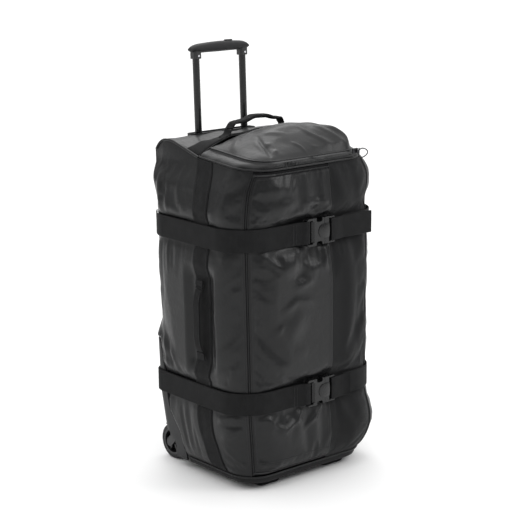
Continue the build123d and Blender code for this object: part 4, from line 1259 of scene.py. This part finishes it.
def main_zipper():
    """Tape and coils up the left front corner and along the flap's bottom and top."""
    z = np.linspace(0.037, 0.707, 200)
    u = np.linspace(-1, 1, 7)
    s = -front_seam(z)[:, None] + u[None, :] * (ZIP_HALF + 0.001)
    upright, _ = skin(s, np.repeat(z[:, None], 7, 1), -0.0018)
    parts = [grid_piece("part", upright, np.stack([s, np.repeat(z[:, None], 7, 1)], -1), None, 0.0008)]
    lines = [seam_line(-1, 0.0, 0.037, 0.707, -0.0016)]
    for low, high in ((0.0365, FLAP_LOW + 0.001), (FLAP_HIGH - 0.001, 0.7085)):
        height = np.linspace(low, high, 7)
        s = np.linspace(-float(front_seam(low)), FLAP_EDGE, 120)
        zz, ss = np.meshgrid(height, s, indexing="ij")
        run, _ = skin(ss, zz, -0.0012)
        parts.append(grid_piece("part", run, np.stack([ss, zz], -1), None, 0.0008))
        lines.append(skin(s, np.full(120, (low + high) / 2), -0.0010))
    finish_piece(joined("main_zip_tape", parts), TAPE, replaces=["main_zipper"])
    finish_piece(coil_teeth("main_zip_coil", lines), COIL)


main_zipper()


def loop_points(half, front, radius, height, count, back=-POCKET_BACK):
    """Evenly spread points round the pocket's open loop, on the sloping plane."""
    plan = open_loop(half, front, back, radius, 0.001)
    plan = resample(plan, 1e-9 + run_length(plan)[-1] / (count - 1))
    return np.column_stack([plan, pocket_z(plan[:, 1], height)])


def gusset():
    """The gathered ring of fabric between the pocket's piping and its zipper."""
    count = 260
    rings = []
    profile = [
        (0.1722, 0.1694, 0.068, 0.0028),
        (0.1700, 0.1692, 0.066, 0.0050),
        (0.1660, 0.1688, 0.063, 0.0074),
        (0.1610, 0.1682, 0.060, 0.0094),
        (0.1560, 0.1676, 0.056, 0.0110),
        (0.1515, 0.1672, 0.053, 0.0120),
        (0.1480, 0.1670, 0.050, 0.0126),
    ]
    for k, (half, front, radius, height) in enumerate(profile):
        ring = loop_points(half, front, radius, height, count)
        out = unit(np.gradient(ring, axis=0))[:, [1, 0, 2]] * (-1, 1, 0)
        puff = math.sin(k / (len(profile) - 1) * math.pi)
        along = np.linspace(0, 1, count)
        wave = 0.0010 * np.sin(along * 95) + 0.0008 * np.sin(along * 57 + 1.7)
        crumple = bump_at(along, 0.40, 0.035) * 0.0022 * np.sin(along * 420)
        ring = ring - out * (puff * (0.0012 + wave + crumple))[:, None]
        rings.append(ring)
    points = np.array(rings)
    length = np.linspace(0, 0.62, count)
    uvs = np.stack(np.meshgrid(np.linspace(0, 0.03, len(profile)), length, indexing="ij"), -1)[..., ::-1]
    piece = grid_piece("gusset_skin", points, uvs, None, 0.0016, flip=True)
    finish_piece(piece, COATED, replaces=["pocket_gusset"])
    lines = []
    for half, front, radius, height in ((0.1690, 0.1712, 0.066, 0.0066), (0.1545, 0.1692, 0.055, 0.0128)):
        ring = loop_points(half, front, radius, height, count)
        lines.append((ring, np.tile((0.0, -0.5, 0.86), (count, 1))))
    finish_piece(stitches("gusset_stitches", lines), THREAD)


def pocket_zipper():
    count = 240
    inner = loop_points(0.1425, 0.1625, 0.0455, 0.0148, count)
    outer = loop_points(0.1478, 0.1678, 0.0498, 0.0136, count)
    points = np.array([outer * (1 - t) + inner * t for t in np.linspace(0, 1, 6)])
    length = np.linspace(0, 0.6, count)
    uvs = np.stack(np.meshgrid(np.linspace(0, 0.006, 6), length, indexing="ij"), -1)[..., ::-1]
    finish_piece(grid_piece("pocket_zip_tape", points, uvs, None, 0.0008, flip=True), TAPE,
                 replaces=["pocket_zipper"])
    line = loop_points(0.1470, 0.1672, 0.049, 0.0146, count)
    out = unit(np.stack([line[:, 0], line[:, 1], np.full(count, 0.08)], -1))
    finish_piece(coil_teeth("pocket_zip_coil", [(line, out)]), COIL)


gusset()
pocket_zipper()


# ---------------------------------------------------------------- lid of the top pocket


def lid_half(y):
    """Half width of the lid at a depth."""
    r = LID_CORNER
    past = np.clip(-(POCKET_FRONT - r) - y, 0, r * 0.9999)
    return POCKET_HALF - r + np.sqrt(r * r - past * past)


# The lid's height over its rim in millimetres, at shares of its half width and at depths.
LID_SHARES = np.array([-1, -0.82, -0.58, -0.31, 0, 0.31, 0.58, 0.81, 0.93, 1])
LID_DEPTHS = np.array([-0.166, -0.155, -0.135, -0.105, -0.070, -0.035, -0.004])
LID_NET = np.array([
    (0, 0, 0, 0, 0, 0, 0, 0, 0, 0),
    (0, 6, 8, 10, 12, 16, 20, 21, 16, 0),
    (0, 9, 15, 21, 26, 31, 35, 32, 25, 0),
    (0, 12, 22, 32, 39, 42, 44, 38, 27, 0),
    (0, 13, 25, 37, 45, 46, 45, 36, 23, 0),
    (0, 10, 23, 34, 40, 41, 36, 23, 12, 0),
    (0, 5, 15, 22, 26, 25, 18, 8, 2, 0),
]) / 1000

# Folds of the lid, in mm: width, height, then points as x and y.
LID_FOLDS = [
    (4, -4.0, (-70, -72), (-84, -104), (-94, -136), (-106, -158)),
    (8, 3.6, (-80, -112), (-76, -122)),
    (9, 4.2, (-84, -140), (-78, -150)),
    (5, 2.0, (-90, -88), (-104, -130)),
    (8, 3.0, (-97, -36), (-130, -66), (-142, -80)),
    (14, -2.0, (-112, -80), (-118, -120)),
    (13, 2.6, (-56, -66), (-22, -78), (24, -80), (44, -88)),
    (7, 2.4, (-56, -74), (-18, -104)),
    (14, -2.4, (-52, -112), (-30, -140)),
    (6, 4.4, (28, -84), (34, -122), (66, -160)),
    (8, -2.6, (46, -96), (56, -132), (84, -156)),
    (6, 4.0, (66, -88), (80, -126), (100, -152)),
    (7, -7.0, (92, -76), (103, -112), (114, -152)),
    (6, 5.0, (112, -84), (118, -122), (126, -146)),
    (4, 2.6, (-24, -132), (-12, -148), (-8, -162)),
    (4, 2.0, (16, -152), (38, -162)),
    (10, 2.4, (0, -20), (60, -26), (100, -44)),
    (8, -2.0, (-30, -30), (20, -46), (70, -50)),
]


def lid():
    """The pocket's domed cover, its rim and its stitches."""
    columns = 160
    straight = POCKET_FRONT - LID_CORNER
    bend = straight + LID_CORNER * np.sin(np.linspace(0, math.pi / 2, 40))
    y = -np.clip(np.r_[np.linspace(0, straight, 56, endpoint=False), bend], POCKET_BACK, POCKET_FRONT)
    u = np.sin(np.linspace(-math.pi / 2, math.pi / 2, columns))
    u = 0.5 * u + 0.5 * np.linspace(-1, 1, columns)
    across = np.array([hermite(u, LID_SHARES, row) for row in LID_NET])
    rise = np.array([hermite(y, LID_DEPTHS, across[:, j]) for j in range(columns)]).T
    yy = np.repeat(y[:, None], columns, 1)
    half = lid_half(yy)
    xx = u[None, :] * half
    to_rim = np.minimum(half - np.abs(xx), POCKET_FRONT + yy)
    folds = np.zeros(rise.shape)
    for width, height, *line in LID_FOLDS:
        folds += crease(xx, yy, width, height, *line)
    small = np.array([
        [noise.noise(Vector((a * 17, b * 17, 3.1))) for a, b in zip(p, q)] for p, q in zip(xx, yy)
    ])
    calm = rising(to_rim, 0, 0.012) * falling(yy, -POCKET_BACK, 0.012)
    height = pocket_z(yy, LID_RIM_RISE) + rise + (0.8 * folds + 0.0008 * small) * calm
    points = np.stack([xx, yy, height], -1)
    piece = grid_piece("lid_skin", points, np.stack([xx, yy], -1), None, 0.0020, flip=True)
    finish_piece(piece, COATED, "pocket_cover", ["pocket_lid"])
    edge = np.concatenate([points[:, 0], points[-1, 1:-1], points[::-1, -1]])
    edge = resample(edge, 0.004) + (0, 0, -0.0006)
    finish_piece(tube("lid_rim_welt", edge, 0.0017, 8), COATED, "pocket_cover")
    inner = np.concatenate([points[2:, 5], points[-6, 6:-6], points[:1:-1, -6]])
    inner = resample(inner, 0.004) + (0, 0, 0.0002)
    up = np.tile((0.0, -0.3, 0.95), (len(inner), 1))
    finish_piece(stitches("lid_stitches", [(inner, up)]), THREAD, "pocket_cover")


lid()


def pull_loop():
    """Small moulded loop on the pocket's zip slider."""
    low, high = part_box("pocket_pull")
    middle = (low + high) / 2
    size = high - low
    sides = np.array([size.x, size.y, size.z])
    long_way, flat_way = int(np.argmax(sides)), int(np.argmin(sides))
    across = 3 - long_way - flat_way
    turn = np.linspace(0, 2 * math.pi, 49)
    line = np.tile(np.array(middle), (49, 1))
    line[:, long_way] += (sides[long_way] / 2 - PULL_R) * np.cos(turn)
    line[:, across] += (sides[across] / 2 - PULL_R) * np.sin(turn) * (1 - 0.25 * np.cos(turn))
    loop = tube("pull_tab_loop", line, PULL_R, 10)
    finish_piece(loop, PULL_TAB, "pocket_zip_pull", ["pocket_pull"])


pull_loop()


def pocket_lining():
    """Floor and back wall of the top pocket, seen when the lid is open."""
    share = even(80, 0.7) * 2 - 1
    y = -0.003 - 0.1640 * even(50, 0.5)
    yy, xx = np.meshgrid(y, share, indexing="ij")
    r = 0.062
    limit = 0.1700 - r + np.sqrt(r**2 - np.clip(-yy - 0.1054, 0, 0.0619) ** 2)
    xx = xx * limit
    to_edge = np.minimum(limit - np.abs(xx), 0.1672 + yy)
    zz = pocket_z(yy, -0.0055) + 0.0012 * np.sin(xx * 40) * np.sin(yy * 60)
    zz = zz + 0.0070 * np.exp(-np.maximum(to_edge, 0) / 0.005)
    floor = grid_piece("part", np.stack([xx, yy, zz], -1), np.stack([xx, yy], -1), None, 0.0015, flip=True)
    x = np.linspace(-0.145, 0.145, 60)
    rise = np.linspace(0, 1, 12)
    top = 0.7225 + 0.043 * crown(x * 1.12)
    wall = np.stack([
        np.repeat(x[None, :], 12, 0),
        np.full((12, 60), -0.0018),
        0.722 + rise[:, None] * (top - 0.722)[None, :],
    ], -1)
    back = grid_piece("part", wall, wall[..., [0, 2]], None, 0.0012)
    finish_piece(joined("pocket_lining", [floor, back]), LINING,
                 replaces=["pocket_divider"])


pocket_lining()


# ---------------------------------------------------------------- compression straps


def strap_path(z, sign, inner_end):
    """Plan line of a strap round one side, from the back seam to a distance from the front's middle."""
    end = float(back_seam(z)) - 0.002
    s = np.linspace(-end, -inner_end, 260) if sign < 0 else np.linspace(inner_end, end, 260)
    point, normal = plan_point(s, np.full(260, z))
    return (point + normal * STRAP_LIFT)[:, :2]


def upright(plan, z, wave, seed):
    """A plan line at a height, which wanders up and down by a wave."""
    path = np.column_stack([plan, np.full(len(plan), z)])
    length = run_length(path)
    path[:, 2] += wave * np.sin(length * 14 + seed)
    return path


def strap_web(name, path, at, outward, body="bag"):
    """The strap's webbing along a path, laid so that its thickness is on the outer side."""
    points, normals = strip_points(path, (0, 0, 1), STRAP_WIDTH)
    thick = STRAP_THICK if normals[at, 0] @ outward > 0 else -STRAP_THICK
    finish_piece(webbing(name + "_web", points, normals, thick), WEBBING, body, [name])


def strap_left(name, z, seed):
    """The left part of a strap, from the back seam to its fold round the buckle's bar."""
    low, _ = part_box(name.replace("strap_left", "buckle_female"))
    front = low.y
    x = low.x
    plan = strap_path(z, -1, 0.080)
    turn = spline([
        plan[-1],
        (x - 0.022, front + 0.0094),
        (x - 0.010, front + 0.0062),
        (x - 0.002, front + 0.0020),
        (x + 0.0040, front + 0.0012),
        (x + 0.0074, front + 0.0038),
        (x + 0.0070, front + 0.0080),
        (x + 0.0030, front + 0.0104),
        (x - 0.006, front + 0.0106),
    ], 0.001)
    path = upright(np.concatenate([plan[:-1], turn]), z, 0.0008, seed)
    strap_web(name, path, 100, plan_point(-0.3, z)[1])
    box = []
    for dx in (0.026, 0.034):
        height = np.linspace(z - 0.020, z + 0.020, 30)
        column = np.column_stack([np.full(30, x - dx), np.full(30, front + 0.0074), height])
        box.append((column, np.tile((0.0, -1.0, 0.0), (30, 1))))
    finish_piece(stitches(name + "_stitches", box), THREAD)


def strap_right(name, z, seed):
    """The right part of a strap, from the back seam to the buckle."""
    path = upright(strap_path(z, 1, 0.084), z, 0.0008, seed)
    strap_web(name, path, 130, plan_point(0.3, z)[1])


def strap_tail(name, z, body, seed, curl):
    """The loose end beyond the buckle, which curls away from the bag or lies along it."""
    low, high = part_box(name)
    back = high.y
    if curl:
        line = [
            (low.x, back - 0.0052),
            (low.x + 0.008, back - 0.0060),
            (low.x + 0.016, back - 0.0052),
            (0.070, back - 0.0030),
            (0.080, back - 0.0022),
            (0.088, back - 0.0030),
            (high.x, back - 0.0062),
        ]
    else:
        line = [
            (low.x, low.y + 0.0030),
            (low.x + 0.008, low.y + 0.0022),
            (low.x + 0.016, low.y + 0.0026),
            (0.066, back - 0.0046),
            (0.080, back - 0.0024),
            (0.110, back - 0.0030),
            (0.140, back - 0.0022),
            (high.x, back - 0.0024),
        ]
    path = upright(spline(line, 0.002), z, 0.0006, seed)
    strap_web(name, path, 5, (0, -1, 0), body)


for band, height, curl, seed in (
    ("upper", UPPER_STRAP_Z, False, 0.4),
    ("lower", LOWER_STRAP_Z, True, 2.1),
):
    strap_left(band + "_strap_left", height, seed)
    strap_right(band + "_strap_right", height, seed + 1)
    strap_tail(band + "_strap_tail", height, band + "_buckle", seed, curl)


# ---------------------------------------------------------------- handles


def grab_handle(name, path, across, width, thick, body, node, ends_flat=0.18):
    """A padded grab handle: a soft sleeve round webbing, flat at its sewn ends."""
    path = np.asarray(path, float)
    tangent = unit(np.gradient(path, axis=0))
    across = unit(np.broadcast_to(np.asarray(across, float), path.shape))
    normal = unit(np.cross(tangent, across))
    t = np.linspace(0, 1, len(path))
    swell = np.clip(np.minimum(t, 1 - t) / ends_flat, 0, 1)
    swell = swell * swell * (3 - 2 * swell)
    sides = 20
    angles = np.linspace(0, 2 * math.pi, sides, endpoint=False)
    cos, sin = np.cos(angles), np.sin(angles)
    rounder = np.sign(cos) * np.abs(cos) ** 0.6, np.sign(sin) * np.abs(sin) ** 0.8
    points = (
        path[:, None]
        + rounder[0][None, :, None] * across[:, None] * (width / 2) * (1 - 0.10 * swell)[:, None, None]
        + rounder[1][None, :, None] * normal[:, None] * (thick / 2) * (0.55 + 0.45 * swell)[:, None, None]
    )
    uvs = [(u, width * a / math.pi) for u in run_length(path) for a in angles]
    piece = new_object(name, points.reshape(-1, 3), ring_faces(len(path), sides), uvs)
    finish_piece(piece, WEBBING, body, [node])
    lines = []
    for place in (-0.36, 0.36):
        row = path + across * width * place + normal * (thick / 2 * (0.55 + 0.45 * swell) * 0.80)[:, None]
        lines.append((row[3:-3], normal[3:-3]))
    finish_piece(stitches(name + "_stitches", lines), THREAD, body)


def end_tab(points, across, width, thick):
    """A sewn webbing end from the handle down to the bag."""
    path = spline(points, 0.002)
    grid, normals = strip_points(path, across, width)
    return webbing("part", grid, normals, thick)


def top_handle():
    """The padded handle on top and its two sewn ends."""
    low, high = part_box("top_handle")
    y = (low.y + high.y) / 2
    width = high.y - low.y
    half = high.x
    top = high.z - 0.0018
    foot = low.z + 0.0016
    arch = spline([
        (-half + 0.001, y, foot),
        (-half * 0.84, y, foot + 0.0110),
        (-half * 0.45, y, top - 0.0100),
        (-half * 0.06, y, top - 0.0026),
        (half * 0.36, y, top - 0.0040),
        (half * 0.70, y, top - 0.0110),
        (half * 0.90, y, foot + 0.0110),
        (half - 0.001, y, foot),
    ], 0.003)
    grab_handle("top_handle_sleeve", arch, (0, 1, 0), width * 1.05, 0.0088,
                "top_grab_handle", "top_handle", 0.3)
    parts = []
    for side in (-1, 1):
        x = side * (half + 0.0016)
        parts.append(end_tab(
            [
                (x, y, foot - 0.0014),
                (side * (half + 0.0040), y, foot - 0.0070),
                (side * (half + 0.0080), y, 0.7664),
                (side * (half + 0.020), y, 0.7612),
            ],
            (0, 1, 0), width, 0.0020 * side))
    finish_piece(joined("top_handle_tabs", parts), WEBBING, replaces=["top_handle_ends"])


def side_handle(side):
    name = SIDE_NAMES[side]
    low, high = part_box(name + "_side_handle")
    outer = max(abs(low.x), abs(high.x))
    inner = min(abs(low.x), abs(high.x))
    y = (low.y + high.y) / 2
    middle = outer - 0.0022
    arch = spline([
        (side * (inner + 0.0020), y, low.z + 0.0010),
        (side * (middle - 0.0034), y, low.z + 0.012),
        (side * middle, y, low.z + 0.040),
        (side * middle, y, (low.z + high.z) / 2),
        (side * middle, y, high.z - 0.040),
        (side * (middle - 0.0034), y, high.z - 0.012),
        (side * (inner + 0.0020), y, high.z - 0.0010),
    ], 0.003)
    grab_handle(name + "_handle_sleeve", arch, (0, 1, 0), 0.0236, 0.0050,
                name + "_grab_handle", name + "_side_handle")


def side_tabs():
    """The sewn ends of both side handles."""
    parts = []
    for side, node in ((-1, "left_side_handle"), (1, "right_side_handle")):
        low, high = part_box(node)
        y = (low.y + high.y) / 2
        inner = min(abs(low.x), abs(high.x))
        for z, step in ((low.z, -1), (high.z, 1)):
            wall = float(body_row(z)[0]) + 0.0036
            parts.append(end_tab(
                [
                    (side * (inner + 0.0018), y, z + step * 0.0012),
                    (side * (inner - 0.0014), y, z + step * 0.0060),
                    (side * (wall + 0.0050), y, z + step * 0.0110),
                    (side * (wall + 0.0034), y, z + step * 0.0190),
                ],
                (0, 1, 0), 0.0240, 0.0022 * (side if step > 0 else -side)))
    finish_piece(joined("side_handle_tabs", parts), WEBBING, replaces=["side_handle_ends"])


top_handle()
side_handle(-1)
side_handle(1)
side_tabs()


# ---------------------------------------------------------------- floor, light and camera


CAMERA_WHITE = 1.05


def stage_and_light():
    """White floor, a soft grey studio sky and three area lights."""
    scene = bpy.context.scene
    floor = new_object("floor", [(-60, -60, 0), (60, -60, 0), (60, 60, 0), (-60, 60, 0)], [(0, 1, 2, 3)])
    paint = Paint("floor_white", (0.93, 0.93, 0.93), 0.9, specular=0.1)
    floor.data.materials.append(paint.material)
    world = bpy.data.worlds.new("studio")
    scene.world = world
    world.use_nodes = True
    nodes, links = world.node_tree.nodes, world.node_tree.links
    background = nodes["Background"]
    coords = nodes.new("ShaderNodeTexCoord")
    split = nodes.new("ShaderNodeSeparateXYZ")
    links.new(coords.outputs["Generated"], split.inputs[0])

    def sky_ramp(*ends):
        node = nodes.new("ShaderNodeMapRange")
        set_inputs(node, dict(zip(("From Min", "From Max", "To Min", "To Max"), ends)))
        return node

    # The sky is brighter towards the bag's right and back, and brighter again overhead.
    ramp = sky_ramp(-0.2, 1.4, 0.17, 0.60)
    behind = nodes.new("ShaderNodeMath")
    links.new(split.outputs["X"], behind.inputs[0])
    links.new(split.outputs["Y"], behind.inputs[1])
    links.new(behind.outputs[0], ramp.inputs["Value"])
    lift = sky_ramp(0.2, 1.0, 0.0, 1.7)
    links.new(split.outputs["Z"], lift.inputs["Value"])
    both = nodes.new("ShaderNodeMath")
    links.new(ramp.outputs["Result"], both.inputs[0])
    links.new(lift.outputs["Result"], both.inputs[1])
    # The camera itself sees plain white.
    rays = nodes.new("ShaderNodeLightPath")
    seen = nodes.new("ShaderNodeMix")
    seen.inputs[3].default_value = CAMERA_WHITE
    links.new(rays.outputs["Is Camera Ray"], seen.inputs[0])
    links.new(both.outputs[0], seen.inputs[2])
    links.new(seen.outputs[0], background.inputs["Strength"])
    background.inputs["Color"].default_value = (1, 1, 1, 1)

    def area(name, where, target, size, power, tall=None):
        data = bpy.data.lights.new(name, "AREA")
        data.energy = power
        data.size = size
        if tall:
            data.shape = "RECTANGLE"
            data.size_y = tall
        light = bpy.data.objects.new(name, data)
        scene.collection.objects.link(light)
        light.location = where
        light.rotation_mode = "QUATERNION"
        light.rotation_quaternion = (Vector(target) - Vector(where)).to_track_quat("-Z", "Y")

    area("top_softbox", (0.9, 1.5, 2.4), (0, 0, 0.6), 1.2, 9)
    area("front_right_softbox", (1.7, -2.2, 2.0), (0, -0.1, 0.45), 1.0, 18)
    area("left_strip", (-2.4, 1.4, 1.3), (0, 0, 0.5), 0.6, 4, 1.8)


def place_camera():
    """The view of the photo."""
    azimuth, elevation, roll = math.radians(-40.12), math.radians(13.02), math.radians(-0.63)
    distance, target = 3.5458, Vector((0.0003, 0.0071, 0.4713))
    back = Vector((
        math.sin(azimuth) * math.cos(elevation),
        -math.cos(azimuth) * math.cos(elevation),
        math.sin(elevation),
    ))
    right = (-back).cross(Vector((0, 0, 1))).normalized()
    up = right.cross(-back)
    tilted_right = math.cos(roll) * right + math.sin(roll) * up
    tilted_up = -math.sin(roll) * right + math.cos(roll) * up
    data = bpy.data.cameras.new("camera")
    data.lens = 108.3
    data.sensor_width = 36
    camera = bpy.data.objects.new("camera", data)
    bpy.context.scene.collection.objects.link(camera)
    place = Matrix((tilted_right, tilted_up, back)).transposed().to_4x4()
    place.translation = target + back * distance
    camera.matrix_world = place
    bpy.context.scene.camera = camera


stage_and_light()
place_camera()
bpy.context.scene.view_settings.view_transform = "Standard"
